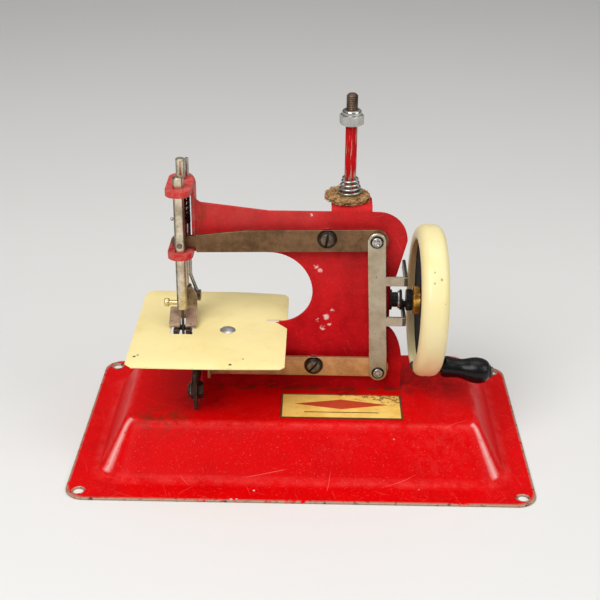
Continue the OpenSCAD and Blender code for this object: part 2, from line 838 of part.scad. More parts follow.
module needle_clamp_screw() {
  color("goldenrod") translate([needle_x, -needle_y, needle_bar_z + clamp_up]) {
    translate([-clamp_l, 0, 0]) {
      rod_x(clamp_shank_r, clamp_l - needle_r - clear);
      rod_x(clamp_r, clamp_head_l);
    }
  }
}

module needle_bar_pin() {
  front = needle_y + bar_r + clear;
  color("gray") translate([needle_x, -front, pin_z]) rod_y(pin_r, front - lever_gap + clear);
}

// Presser bar with foot, collar, lift pin and spring
sole_up = 0.7;
heel_rise = 6;
heel_y = 0.2;
upright_h = 10.3;
upright_round_w = 3;
upright_round_h = 6.4;
sleeve_t = 1.2;
sleeve_h = 9;
toe_l = 0.8;
collar_z = ear_under_z - spring_h - collar_h;
foot_top_z = table_z + sole_up + heel_rise;
presser_bar_z = foot_top_z;
guide_x = needle_x + bar_r;
guide_y = presser_y + presser_r + 2 * wire_r + 2 * clear;
wire_bend_w = 2.6;
wire_bead = 0.15;
lug_x = guide_x + wire_bend_w;
lug_rim = 2;
lug_h = 4;
wire_low_z = foot_top_z + lug_h + wire_r;
wire_bend_z = wire_low_z + 3 * wire_bend_w;

module presser_bar() {
  color("silver") difference() {
    translate([needle_x, presser_y, presser_bar_z]) 
      round_bar(presser_r, ear_high_z + presser_up - presser_bar_z);
    translate([needle_x - presser_r - cut, presser_y, collar_z + collar_h / 2])
      rod_x(lift_pin_r + run_fit, presser_r + cut);
  }
}

module presser_foot() {
  z0 = table_z + sole_up;
  z1 = z0 + heel_rise;
  x1 = needle_x + foot_w / 2;
  top_z = z1 + upright_h;
  slot_l = toe_y - needle_y + foot_slot_w;
  color("rosybrown") difference() {
    union() {
      sideways(needle_x - foot_w / 2, foot_w) polygon([
        [-toe_y, z0], [-toe_y + toe_l, z0], [heel_y, z1 - foot_t], [heel_y, z1],
        [heel_y - foot_t, z1], [-toe_y + toe_l - foot_t / 2, z0 + foot_t], [-toe_y, z0 + foot_t]
      ]);
      upright(heel_y - foot_t, foot_t) polygon(concat(
        [[needle_x - presser_r, z1 - foot_t / 2], [x1, z1 - foot_t / 2]],
        arc([x1 - upright_round_w, top_z - upright_round_h], upright_round_w, upright_round_h, 0, 90),
        [[needle_x - presser_r, top_z]]
      ));
      translate([needle_x, presser_y, z1]) cylinder(r = presser_r + sleeve_t, h = sleeve_h);
      translate([needle_x - presser_r, heel_y - foot_t / 2, z1])
        cube([2 * presser_r, presser_y - heel_y, sleeve_h]);
      translate([needle_x, presser_y + presser_r + clear, z1])
        cube([lug_x + lug_rim - needle_x, guide_y + lug_rim - presser_y - presser_r - clear, lug_h]);
    }
    translate([lug_x, guide_y, z1 - cut]) cylinder(r = wire_r + run_fit, h = lug_h + 2 * cut);
    translate([needle_x, presser_y, z1 - cut]) cylinder(r = presser_r + run_fit, h = upright_h + 2 * cut);
    translate([needle_x - foot_slot_w / 2, -toe_y - cut, z0 - cut])
      cube([foot_slot_w, slot_l + cut, heel_rise + 2 * cut]);
  }
}

module presser_collar() {
  color("dimgray") difference() {
    translate([needle_x, presser_y, collar_z]) cylinder(r = collar_r, h = collar_h);
    translate([needle_x, presser_y, collar_z - cut]) 
      cylinder(r = presser_r + run_fit, h = collar_h + 2 * cut);
    translate([needle_x - collar_r - cut, presser_y, collar_z + collar_h / 2])
      rod_x(lift_pin_r + run_fit, collar_r + cut);
  }
}

module presser_lift_pin() {
  color("silver") translate([needle_x - lift_pin_l, presser_y, collar_z + collar_h / 2])
    rod_x(lift_pin_r, lift_pin_l - clear);
}

spring_room = 0.9;
spring_r = presser_r + spring_room + spring_wire_r;

module presser_spring() {
  color("darkslategray") translate([needle_x, presser_y, 0])
    coil("presser_spring", spring_turns, spring_r, spring_r,
      collar_z + collar_h + spring_wire_r + slide_gap, ear_under_z - spring_wire_r - slide_gap,
      spring_wire_r);
}

// Guide wire that keeps the foot straight: from the foot's lug, bent aside and up through both ears
module presser_guide_wire() {
  top_z = ear_high_z + wire_h;
  bend_h = wire_bend_z - wire_low_z;
  color("white") translate([0, guide_y, 0]) {
    translate([guide_x, 0, wire_bend_z]) {
      sphere(wire_r + wire_bead);
      cylinder(r = wire_r, h = top_z - wire_bend_z);
    }
    translate([lug_x, 0, wire_low_z]) {
      sphere(wire_r + wire_bead);
      rotate([0, -atan2(wire_bend_w, bend_h), 0]) cylinder(r = wire_r, h = norm([wire_bend_w, bend_h]));
    }
    translate([lug_x, 0, foot_top_z]) cylinder(r = wire_r, h = wire_low_z - foot_top_z);
  }
}

// Needle lever: the right end is round about the link's rivet, the left end is a slotted tongue
tongue_h = 5.2;
tongue_end = 4.5;
tongue_root_gap = 0.5;
tongue_root_x = web_right_x + tongue_root_gap;
pin_slot_gap = 0.2;
pin_slot_l = 2.6;
lever_mid_x_share = 0.55;
lever_end_drop = 3.3;
link_end_r = 5.2;

module needle_lever() {
  mid_x = pivot_x - lever_mid_x_share * needle_reach;
  end_z = pivot_z - lever_end_drop;
  mid_z = pivot_z - lever_mid_x_share * lever_end_drop;
  color("tan") difference() {
    upright(lever_y, lever_t) difference() {
      union() {
        polygon([
          [link_x, link_z - link_end_r], [link_x, link_z + link_end_r], [mid_x, mid_z + lever_h / 2],
          [tongue_root_x, end_z + lever_end_h / 2], [tongue_root_x, end_z - lever_end_h / 2],
          [mid_x, mid_z - lever_h / 2]
        ]);
        translate([link_x, link_z]) circle(link_end_r);
        translate([needle_x - tongue_end + tongue_h / 2, pin_z])
          capsule(tongue_root_x - needle_x + tongue_end, tongue_h / 2);
      }
      translate([needle_x - pin_slot_l / 2 - pin_slot_gap, pin_z])
        capsule(pin_slot_l / 2 + 2 * pin_slot_gap, pin_r + pin_slot_gap);
    }
    translate([pivot_x, lever_y - cut, pivot_z]) rod_y(screw_r + run_fit, lever_t + 2 * cut);
    translate([link_x, lever_y - cut, link_z]) rod_y(rivet_r + run_fit, lever_t + 2 * cut);
  }
}

// Slotted shoulder screw at x, z, its slot turned up from the level
module shoulder_screw(x, z, slot_turn) {
  head_y = lever_y - slide_gap;
  color("darkgray") translate([x, 0, z]) difference() {
    union() {
      translate([0, head_y, 0]) rod_y(screw_r, plate_t + small_nut_h - head_y);
      translate([0, head_y, 0]) rotate([90, 0, 0]) dome(screw_head_r, screw_head_h);
    }
    rotate([0, -slot_turn, 0]) translate([-screw_head_r, head_y - screw_head_h - cut, -slot_w / 2])
      cube([2 * screw_head_r, slot_d + cut, slot_w]);
  }
}

module needle_lever_screw() {
  shoulder_screw(pivot_x, pivot_z, needle_slot_turn);
}

module looper_lever_screw() {
  shoulder_screw(looper_pivot_x, looper_pivot_z, looper_slot_turn);
}

module lever_spacers() {
  color("gray") for (p = [[pivot_x, pivot_z], [looper_pivot_x, looper_pivot_z]])
    translate([p[0], -lever_gap + slide_gap, p[1]]) difference() {
      rod_y(spacer_r, lever_gap - slide_gap);
      translate([0, -cut, 0]) rod_y(screw_r + run_fit, lever_gap + 2 * cut);
    }
}

module lever_nuts() {
  color("gray") for (p = [[pivot_x, pivot_z], [looper_pivot_x, looper_pivot_z]])
    translate([p[0], plate_t, p[1]]) difference() {
      rotate([-90, 0, 0]) cylinder(r = small_nut_r, h = small_nut_h, $fn = 6);
      translate([0, -cut, 0]) rod_y(screw_r + run_fit, small_nut_h + 2 * cut);
    }
}

// Yoke link: a bar between its two rivets, with two arms whose ends are folded back around the crank pin
crank_web_t = 1;
thrust_t = 0.8;
bush_nose_l = 3.6;
thrust_x = notch_x + bush_nose_l + slide_gap;
crank_web_x = thrust_x + thrust_t + slide_gap;
flange_x = crank_web_x + crank_web_t + 2 * slide_gap;
flange_end_x = flange_x + lever_t;
collar_x = flange_end_x + 2 * slide_gap;
slot_z = shaft_z - throw - crank_pin_r - clear;

module yoke_link() {
  dx = link_low_x - link_x;
  dz = link_z - link_low_z;
  color("lightgray") difference() {
    union() {
      upright(link_y, lever_t) {
        translate([link_x, link_z]) rotate(atan2(-dz, dx)) capsule(norm([dx, dz]), link_w / 2);
        for (z = [slot_z - yoke_arm_h, slot_z + yoke_slot_h])
          translate([link_x, z]) square([flange_end_x - link_x, yoke_arm_h]);
      }
      for (z = [slot_z - yoke_arm_h, slot_z + yoke_slot_h])
        translate([flange_x, link_y, z]) cube([lever_t, yoke_flange_d, yoke_arm_h]);
    }
    translate([link_x, link_y - cut, link_z]) rod_y(rivet_r + run_fit, lever_t + 2 * cut);
    translate([link_low_x, link_y - cut, link_low_z]) rod_y(rivet_r + run_fit, lever_t + 2 * cut);
  }
}

// Link rivet with a domed head in front and a flat head behind the lever
rivet_dome_h = 0.9;
rivet_back_h = 1;

module link_rivet(x, z) {
  front = link_y - slide_gap;
  back = -lever_gap + slide_gap;
  color("silver") translate([x, 0, z]) {
    translate([0, front, 0]) rod_y(rivet_r, back - front);
    translate([0, front, 0]) rotate([90, 0, 0]) dome(rivet_head_r, rivet_dome_h);
    translate([0, back, 0]) rod_y(rivet_head_r, rivet_back_h);
  }
}

module yoke_top_rivet() {
  link_rivet(link_x, link_z);
}

module yoke_bottom_rivet() {
  link_rivet(link_low_x, link_low_z);
}

// Looper lever: straight bar with a folded ear at its left end that holds the drive pin
bar_sink = 0.6;
lever_ear_gap = 3.5;
lever_ear_rim = 3.4;
lever_ear_d = drive_y + lever_ear_rim - lever_gap;
lever_ear_h = 8;
lever_ear_x = frame_left_x + lever_ear_gap;

module looper_lever() {
  mid_z = looper_pivot_z - bar_sink;
  color("wheat") difference() {
    union() {
      upright(lever_y, lever_t) {
        translate([lever_ear_x, mid_z - looper_lever_h / 2])
          square([link_low_x - lever_ear_x, looper_lever_h]);
        translate([link_low_x, mid_z]) circle(looper_lever_h / 2);
      }
      translate([lever_ear_x, -drive_y - lever_ear_rim, looper_pivot_z - lever_ear_h / 2])
        cube([lever_t, lever_ear_d, lever_ear_h]);
    }
    translate([looper_pivot_x, lever_y - cut, looper_pivot_z]) rod_y(screw_r + run_fit, lever_t + 2 * cut);
    translate([link_low_x, lever_y - cut, link_low_z]) rod_y(rivet_r + loop_fit, lever_t + 2 * cut);
    translate([lever_ear_x - cut, -drive_y, looper_pivot_z]) rod_x(pin_r + run_fit, lever_t + 2 * cut);
  }
}

looper_x = needle_x + bracket_dx - slide_gap - lever_t;

module looper_drive_pin() {
  tip_x = looper_x - clear;
  head_h = 1;
  color("gray") translate([tip_x, -drive_y, looper_pivot_z]) {
    rod_x(pin_r, lever_ear_x + lever_t - tip_x);
    translate([lever_ear_x + lever_t - tip_x, 0, 0]) rod_x(pin_r + head_h, head_h);
  }
}

// Looper bracket: a foot on the plate and a wing that carries the looper's pivot
wing_top_up = 28.5;
wing_low_up = 1.5;
wing_foot_up = 9.5;
wing_tip_y = 26;
wing_tip_w = 4;
wing_nose_up = 20;
wing_nose_y = 5;
bracket_foot_w = 11;
bracket_foot_up = 16.5;
bracket_rivet_x = frame_left_x + bracket_foot_w / 2 - lever_t / 2;
bracket_rivet_head_h = 0.9;
bracket_rivet_head_r = 2.3;
bracket_rivet_z_shares = [0.26, 0.74];
bracket_rivet_z = [for (s = bracket_rivet_z_shares)
  base_h + bracket_foot_up + s * (wing_top_up - bracket_foot_up)];
looper_z = base_h + looper_up;
window_gap = 0.6;
window_w = 2 * (pin_r + window_gap);
window_low = pin_r + window_gap;
window_h = 13;

module looper_bracket() {
  x0 = needle_x + bracket_dx;
  color("dimgray") difference() {
    union() {
      sideways(x0, lever_t) polygon([
        [0, base_h + wing_top_up], [0, base_h + wing_foot_up],
        [-looper_y + wing_nose_y, base_h + looper_up - wing_low_up],
        [-wing_tip_y + wing_tip_w, base_h + wing_low_up], [-wing_tip_y, base_h + wing_low_up],
        [-wing_tip_y - wing_low_up, base_h + wing_nose_up], [-wing_tip_y + wing_tip_w, base_h + wing_top_up]
      ]);
      upright(-lever_t, lever_t) translate([x0, base_h + bracket_foot_up])
        square([bracket_foot_w, wing_top_up - bracket_foot_up]);
    }
    translate([x0 - cut, -looper_y, looper_z]) rod_x(screw_r + run_fit, lever_t + 2 * cut);
    sideways(x0 - cut, lever_t + 2 * cut)
      translate([-drive_y - window_w / 2, looper_pivot_z - window_low]) square([window_w, window_h]);
    for (z = bracket_rivet_z)
      translate([bracket_rivet_x, -lever_t - cut, z]) rod_y(foot_rivet_r + run_fit, lever_t + 2 * cut);
  }
}

module bracket_rivets() {
  color("dimgray") for (z = bracket_rivet_z)
    translate([bracket_rivet_x, 0, z]) {
      translate([0, -lever_t, 0]) rod_y(foot_rivet_r, lever_t + plate_t);
      translate([0, -lever_t - bracket_rivet_head_h, 0]) rod_y(bracket_rivet_head_r, bracket_rivet_head_h);
      translate([0, plate_t, 0]) rod_y(bracket_rivet_head_r, bracket_rivet_head_h);
    }
}

module looper_bolt() {
  head_x = looper_x - slide_gap;
  color("silver") translate([head_x, -looper_y, looper_z]) {
    rod_x(screw_r, needle_x + bracket_dx + lever_t + small_nut_h - head_x);
    rotate([0, -90, 0]) dome(screw_head_r, screw_head_h);
  }
}

module looper_nut() {
  color("gray") translate([needle_x + bracket_dx + lever_t, -looper_y, looper_z]) difference() {
    rotate([0, 90, 0]) cylinder(r = small_nut_r, h = small_nut_h, $fn = 6);
    translate([-cut, 0, 0]) rod_x(screw_r + run_fit, small_nut_h + 2 * cut);
  }
}

// Looper: a forked tail for the drive pin and a hook that swings under the needle opening
looper_hub_r = 4.4;
tail_l = 20.5;
tail_fork_share = 0.5;
drive_slot_gap = 0.9;
fork_t = 1.5;
hook_w = 2.8;
hook_turn = 25;
hook_tip_l = 5;
hook_tip_turn = -70;

module looper() {
  tail_turn = atan2(looper_pivot_z - looper_z, looper_y - drive_y);
  fork_r = pin_r + drive_slot_gap;
  color("silver") difference() {
    sideways(looper_x, lever_t) difference() {
      translate([-looper_y, looper_z]) {
        circle(looper_hub_r);
        rotate(tail_turn) translate([0, -fork_r - fork_t]) square([tail_l, 2 * (fork_r + fork_t)]);
        rotate(tail_turn + hook_turn) {
          capsule(hook_l, hook_w / 2);
          translate([hook_l, 0]) rotate(hook_tip_turn) capsule(hook_tip_l, hook_w / 2);
        }
      }
      translate([-looper_y, looper_z]) rotate(tail_turn) translate([tail_fork_share * tail_l, -fork_r])
        square([tail_l, 2 * fork_r]);
    }
    translate([looper_x - cut, -looper_y, looper_z]) rod_x(screw_r + run_fit, lever_t + 2 * cut);
  }
}

// Bearing bush through the frame's tab, with a flange on the crank's side
bush_flange_r = 4.8;
bush_flange_t = 1;

module bearing_bush() {
  x0 = notch_x - plate_t - bush_l;
  color("dimgray") translate([0, shaft_y, shaft_z]) difference() {
    union() {
      translate([x0, 0, 0]) rod_x(bush_r, notch_x + bush_nose_l - x0);
      translate([notch_x, 0, 0]) rod_x(bush_flange_r, bush_flange_t);
    }
    translate([x0 - cut, 0, 0]) rod_x(shaft_r + run_fit, notch_x + bush_nose_l - x0 + 2 * cut);
  }
}

// Crankshaft: journal, web, crank pin, collar and a spindle for the hub
shaft_tail_l = 3;
hub_x = collar_x + shaft_collar_l;
rim_set = 0.7;
rim_x = hub_x + rim_set;
disc_x = rim_x + disc_inset;
wheel_nut_h = 3.2;
spindle_end_x = disc_x + disc_t + wheel_nut_h + thrust_t;

module crankshaft() {
  tail_x = notch_x - plate_t - bush_l - shaft_tail_l;
  color("black") translate([0, shaft_y, shaft_z]) {
    translate([tail_x, 0, 0]) rod_x(shaft_r, crank_web_x - tail_x);
    translate([crank_web_x, 0, 0]) rod_x(shaft_collar_r, crank_web_t);
    translate([crank_web_x + crank_web_t, 0, -throw])
      rod_x(crank_pin_r, collar_x - crank_web_x - crank_web_t);
    translate([collar_x, 0, 0]) rod_x(shaft_collar_r, shaft_collar_l);
    translate([hub_x, 0, 0]) rod_x(shaft_r, spindle_end_x - hub_x);
  }
}

thrust_r = 4.2;

module thrust_washer() {
  color("whitesmoke") translate([thrust_x, shaft_y, shaft_z]) difference() {
    rod_x(thrust_r, thrust_t);
    translate([-cut, 0, 0]) rod_x(shaft_r + run_fit, thrust_t + 2 * cut);
  }
}

clip_t = 1;
clip_r = 3.5;

module shaft_clip() {
  x0 = notch_x - plate_t - bush_l - slide_gap - clip_t;
  color("gray") translate([x0, shaft_y, shaft_z]) difference() {
    rod_x(clip_r, clip_t);
    translate([-cut, 0, 0]) rod_x(shaft_r + run_fit, clip_t + 2 * cut);
  }
}

// Hand wheel: rim, disc, hexagonal brass hub and its nut
spigot_r = 5;
disc_fit = 0.2;

module wheel_hub() {
  color("gold") translate([hub_x, shaft_y, shaft_z]) difference() {
    union() {
      rotate([0, 90, 0]) cylinder(r = hub_r, h = disc_x - hub_x, $fn = 6);
      rod_x(spigot_r, disc_x + disc_t - hub_x);
    }
    translate([-cut, 0, 0]) rod_x(shaft_r + run_fit, disc_x + disc_t - hub_x + 2 * cut);
  }
}

module wheel_disc() {
  color("saddlebrown") translate([disc_x, shaft_y, shaft_z]) difference() {
    rod_x(wheel_r - rim_t - disc_fit, disc_t);
    translate([-cut, 0, 0]) rod_x(spigot_r + run_fit, disc_t + 2 * cut);
  }
}

module wheel_nut() {
  color("gray") translate([disc_x + disc_t, shaft_y, shaft_z]) difference() {
    rotate([0, 90, 0]) cylinder(r = hub_r, h = wheel_nut_h, $fn = 6);
    translate([-cut, 0, 0]) rod_x(shaft_r + run_fit, wheel_nut_h + 2 * cut);
  }
}

module rim_section() {
  hw = wheel_w / 2;
  inner_r = wheel_r - rim_t;
  shoulder_x = wheel_r - rim_shoulder_r;
  translate([inner_r, -hw]) square([shoulder_x - inner_r, wheel_w]);
  translate([shoulder_x, -hw + rim_shoulder_r]) square([rim_shoulder_r, wheel_w - 2 * rim_shoulder_r]);
  for (s = [-1, 1])
    intersection() {
      translate([shoulder_x, s * (hw - rim_shoulder_r)]) circle(rim_shoulder_r);
      translate([inner_r, -hw]) square([rim_t, wheel_w]);
    }
}

knob_y = shaft_y - knob_crank * sin(knob_turn);
knob_z = shaft_z - knob_crank * cos(knob_turn);
rim_end_x = rim_x + wheel_w;
bolt_collar_t = 0.5;
bolt_collar_r = 3;
knob_start = bolt_collar_t + clear;
knob_head_r = 2.6;
knob_head_h = 1;
bolt_nub_r = 2.2;
bolt_nub_h = 1.5;

module hand_wheel() {
  color("lemonchiffon") difference() {
    translate([rim_x + wheel_w / 2, shaft_y, shaft_z]) rotate([0, 90, 0]) rotate_extrude() rim_section();
    translate([rim_x - cut, knob_y, knob_z]) rod_x(knob_bolt_r + run_fit, wheel_w + 2 * cut);
  }
}

// Frame of the splayed knob, from the rim's right face along +X
module along_knob() {
  translate([rim_end_x, knob_y, knob_z]) rotate([-knob_turn, 0, 0]) rotate([0, knob_splay, 0]) children();
}

module knob_bolt() {
  end = knob_start + knob_l + slide_gap;
  color("silver") {
    translate([rim_x, knob_y, knob_z]) {
      rod_x(knob_bolt_r, wheel_w);
      rotate([0, -90, 0]) dome(bolt_nub_r, bolt_nub_h);
    }
    translate([rim_end_x, knob_y, knob_z]) rod_x(bolt_collar_r, bolt_collar_t);
    along_knob() {
      translate([bolt_collar_t / 2, 0, 0]) rod_x(knob_bolt_r, end - bolt_collar_t / 2);
      translate([end, 0, 0]) rod_x(knob_head_r, knob_head_h);
    }
  }
}

// Turned knob: radius as shares of the largest one, at even steps along its length
knob_radius_shares = [
  0.7, 0.82, 0.81, 0.77, 0.74, 0.735, 0.76, 0.83, 0.91, 0.97, 1, 0.985, 0.93, 0.8, 0.52
];

module crank_knob() {
  n = len(knob_radius_shares) - 1;
  color("#2b2622") along_knob() translate([knob_start, 0, 0]) rotate([0, 90, 0]) difference() {
    rotate_extrude() polygon(concat(
      [[0, 0]],
      [for (i = [0 : n]) [knob_r * knob_radius_shares[i], knob_l * i / n]],
      [[0, knob_l]]
    ));
    translate([0, 0, -cut]) cylinder(r = knob_bolt_r + run_fit, h = knob_l + 2 * cut);
  }
}

// Spool pin with its nuts, felt washer and tension spring
lower_nut_h = 3.4;
lower_nut_r = 4.4;
spool_tail_l = 5.6;
nut_collar_h = 2.1;
nut_collar_r = 4.3;
nut_turn = -15;
spool_tip_h = 1.4;

module spool_pin() {
  z0 = spool_z - spool_tail_l;
  z1 = spool_z + spool_h - spool_tip_h;
  color("firebrick") translate([spool_x, spool_y, 0]) {
    translate([0, 0, z0]) cylinder(r = spool_r, h = z1 - z0);
    translate([0, 0, z1]) dome(spool_r, spool_tip_h);
  }
}

module spool_lower_nut() {
  color("gray") translate([spool_x, spool_y, spool_z - plate_t - lower_nut_h]) difference() {
    cylinder(r = lower_nut_r, h = lower_nut_h, $fn = 6);
    translate([0, 0, -cut]) cylinder(r = spool_r + run_fit, h = lower_nut_h + 2 * cut);
  }
}

module spool_lock_nut() {
  color("gainsboro") translate([spool_x, spool_y, spool_z + lock_nut_up]) difference() {
    union() {
      rotate(nut_turn) cylinder(r = nut_r, h = nut_h, $fn = 6);
      translate([0, 0, nut_h]) cylinder(r = nut_collar_r, h = nut_collar_h);
    }
    translate([0, 0, -cut]) cylinder(r = spool_r + run_fit, h = nut_h + nut_collar_h + 2 * cut);
  }
}

module tension_spring() {
  low = spool_z + felt_t + tension_wire_r + slide_gap;
  color("lightgray") translate([spool_x, spool_y, 0])
    coil("tension_spring", tension_turns, tension_low_r, spool_r + clear + tension_wire_r, low,
      low + tension_h, tension_wire_r);
}

module felt_washer() {
  color("darkkhaki") translate([spool_x, spool_y, spool_z]) difference() {
    translate([-felt_left, felt_behind, 0]) cylinder(r = felt_r, h = felt_t);
    translate([0, 0, -cut]) cylinder(r = spool_r + run_fit, h = felt_t + 2 * cut);
  }
}

base_pan();
name_plate();
frame_plate();
foot_rivets();
work_table();
table_rivet();
feed_lever();
needle_bar();
needle();
needle_clamp_screw();
needle_bar_pin();
presser_bar();
presser_foot();
presser_collar();
presser_lift_pin();
presser_spring();
presser_guide_wire();
needle_lever();
needle_lever_screw();
lever_spacers();
looper_lever_screw();
lever_nuts();
yoke_link();
yoke_top_rivet();
yoke_bottom_rivet();
looper_lever();
looper_drive_pin();
looper_bracket();
bracket_rivets();
looper_bolt();
looper_nut();
looper();
bearing_bush();
crankshaft();
thrust_washer();
shaft_clip();
wheel_hub();
wheel_disc();
wheel_nut();
hand_wheel();
knob_bolt();
crank_knob();
spool_pin();
spool_lower_nut();
spool_lock_nut();
tension_spring();
felt_washer();
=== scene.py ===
"""Looks of a hand-cranked toy sewing machine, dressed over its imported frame.

Lengths are in metres, +X right, +Y back, +Z up.
"""
import json
import math
import random

import bmesh
import bpy
from mathutils import Matrix, Vector, noise


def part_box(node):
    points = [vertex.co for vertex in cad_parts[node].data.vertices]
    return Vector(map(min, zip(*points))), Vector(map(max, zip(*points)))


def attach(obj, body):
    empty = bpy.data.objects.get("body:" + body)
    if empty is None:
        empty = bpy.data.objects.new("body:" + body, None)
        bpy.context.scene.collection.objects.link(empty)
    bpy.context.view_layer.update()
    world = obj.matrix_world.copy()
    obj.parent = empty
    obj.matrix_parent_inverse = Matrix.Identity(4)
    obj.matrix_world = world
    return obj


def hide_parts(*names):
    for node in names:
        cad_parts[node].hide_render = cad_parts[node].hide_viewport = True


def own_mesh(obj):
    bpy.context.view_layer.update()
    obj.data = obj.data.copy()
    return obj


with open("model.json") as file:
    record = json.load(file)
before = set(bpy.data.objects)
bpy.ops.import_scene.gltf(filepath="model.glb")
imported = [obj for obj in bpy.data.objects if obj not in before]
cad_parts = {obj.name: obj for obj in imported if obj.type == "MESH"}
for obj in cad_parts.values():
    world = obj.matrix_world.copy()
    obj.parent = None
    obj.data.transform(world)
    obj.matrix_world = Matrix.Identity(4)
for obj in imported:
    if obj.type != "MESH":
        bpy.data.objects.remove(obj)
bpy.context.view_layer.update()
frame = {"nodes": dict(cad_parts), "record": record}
nodes = frame["nodes"]
record = frame["record"]

MM = 0.001
SEED = 7
TURN = 2 * math.pi
EVEN = (1.0, 1.0, 1.0)
X, Y, Z = range(3)
RIGHT, BACK, UP = Vector((1, 0, 0)), Vector((0, 1, 0)), Vector((0, 0, 1))
BODY_OF = {node: body for body, members in record["behaviour"]["bodies"].items() for node in members}
JOINT_OF = {joint["name"]: joint for joint in record["behaviour"]["joints"]}
WHEEL_CENTRE = Vector(JOINT_OF["hand_wheel_spin"]["pos_m"])


def seat(node, axis):
    """Middle of a node's box, on its low side along one axis."""
    low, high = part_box(node)
    place = (low + high) / 2
    place[axis] = low[axis]
    return place


def span(node):
    """Size of a node's box."""
    low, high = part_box(node)
    return high - low


# The photograph's camera: focal length in pixels of a 600-pixel frame, angles in degrees, place in metres
FRAME_PX = 600
FOCAL_PX = 1209.15
SENSOR_MM = 36.0
CAMERA_PITCH = 25.610
CAMERA_YAW = -0.899
CAMERA_ROLL = 0.494
CAMERA_PLACE = Vector((0.00621, -0.50459, 0.31102))
CAMERA_CLIP = (0.01, 20.0)


def add_camera():
    pitch, yaw, roll = (math.radians(a) for a in (CAMERA_PITCH, CAMERA_YAW, CAMERA_ROLL))
    tilt = Matrix.Rotation(TURN / 4 - pitch, 4, "X") @ Matrix.Rotation(roll, 4, "Z")
    data = bpy.data.cameras.new("photo_camera")
    data.sensor_width = SENSOR_MM
    data.lens = FOCAL_PX / FRAME_PX * SENSOR_MM
    data.clip_start, data.clip_end = CAMERA_CLIP
    camera = bpy.data.objects.new("photo_camera", data)
    bpy.context.scene.collection.objects.link(camera)
    camera.matrix_world = Matrix.Translation(CAMERA_PLACE) @ Matrix.Rotation(-yaw, 4, "Z") @ tilt
    bpy.context.scene.camera = camera


# Materials


def rgb(red, green, blue):
    """Linear colour of an 8-bit screen colour."""
    shares = (c / 255 for c in (red, green, blue))
    return (*(c / 12.92 if c <= 0.04045 else ((c + 0.055) / 1.055) ** 2.4 for c in shares), 1.0)


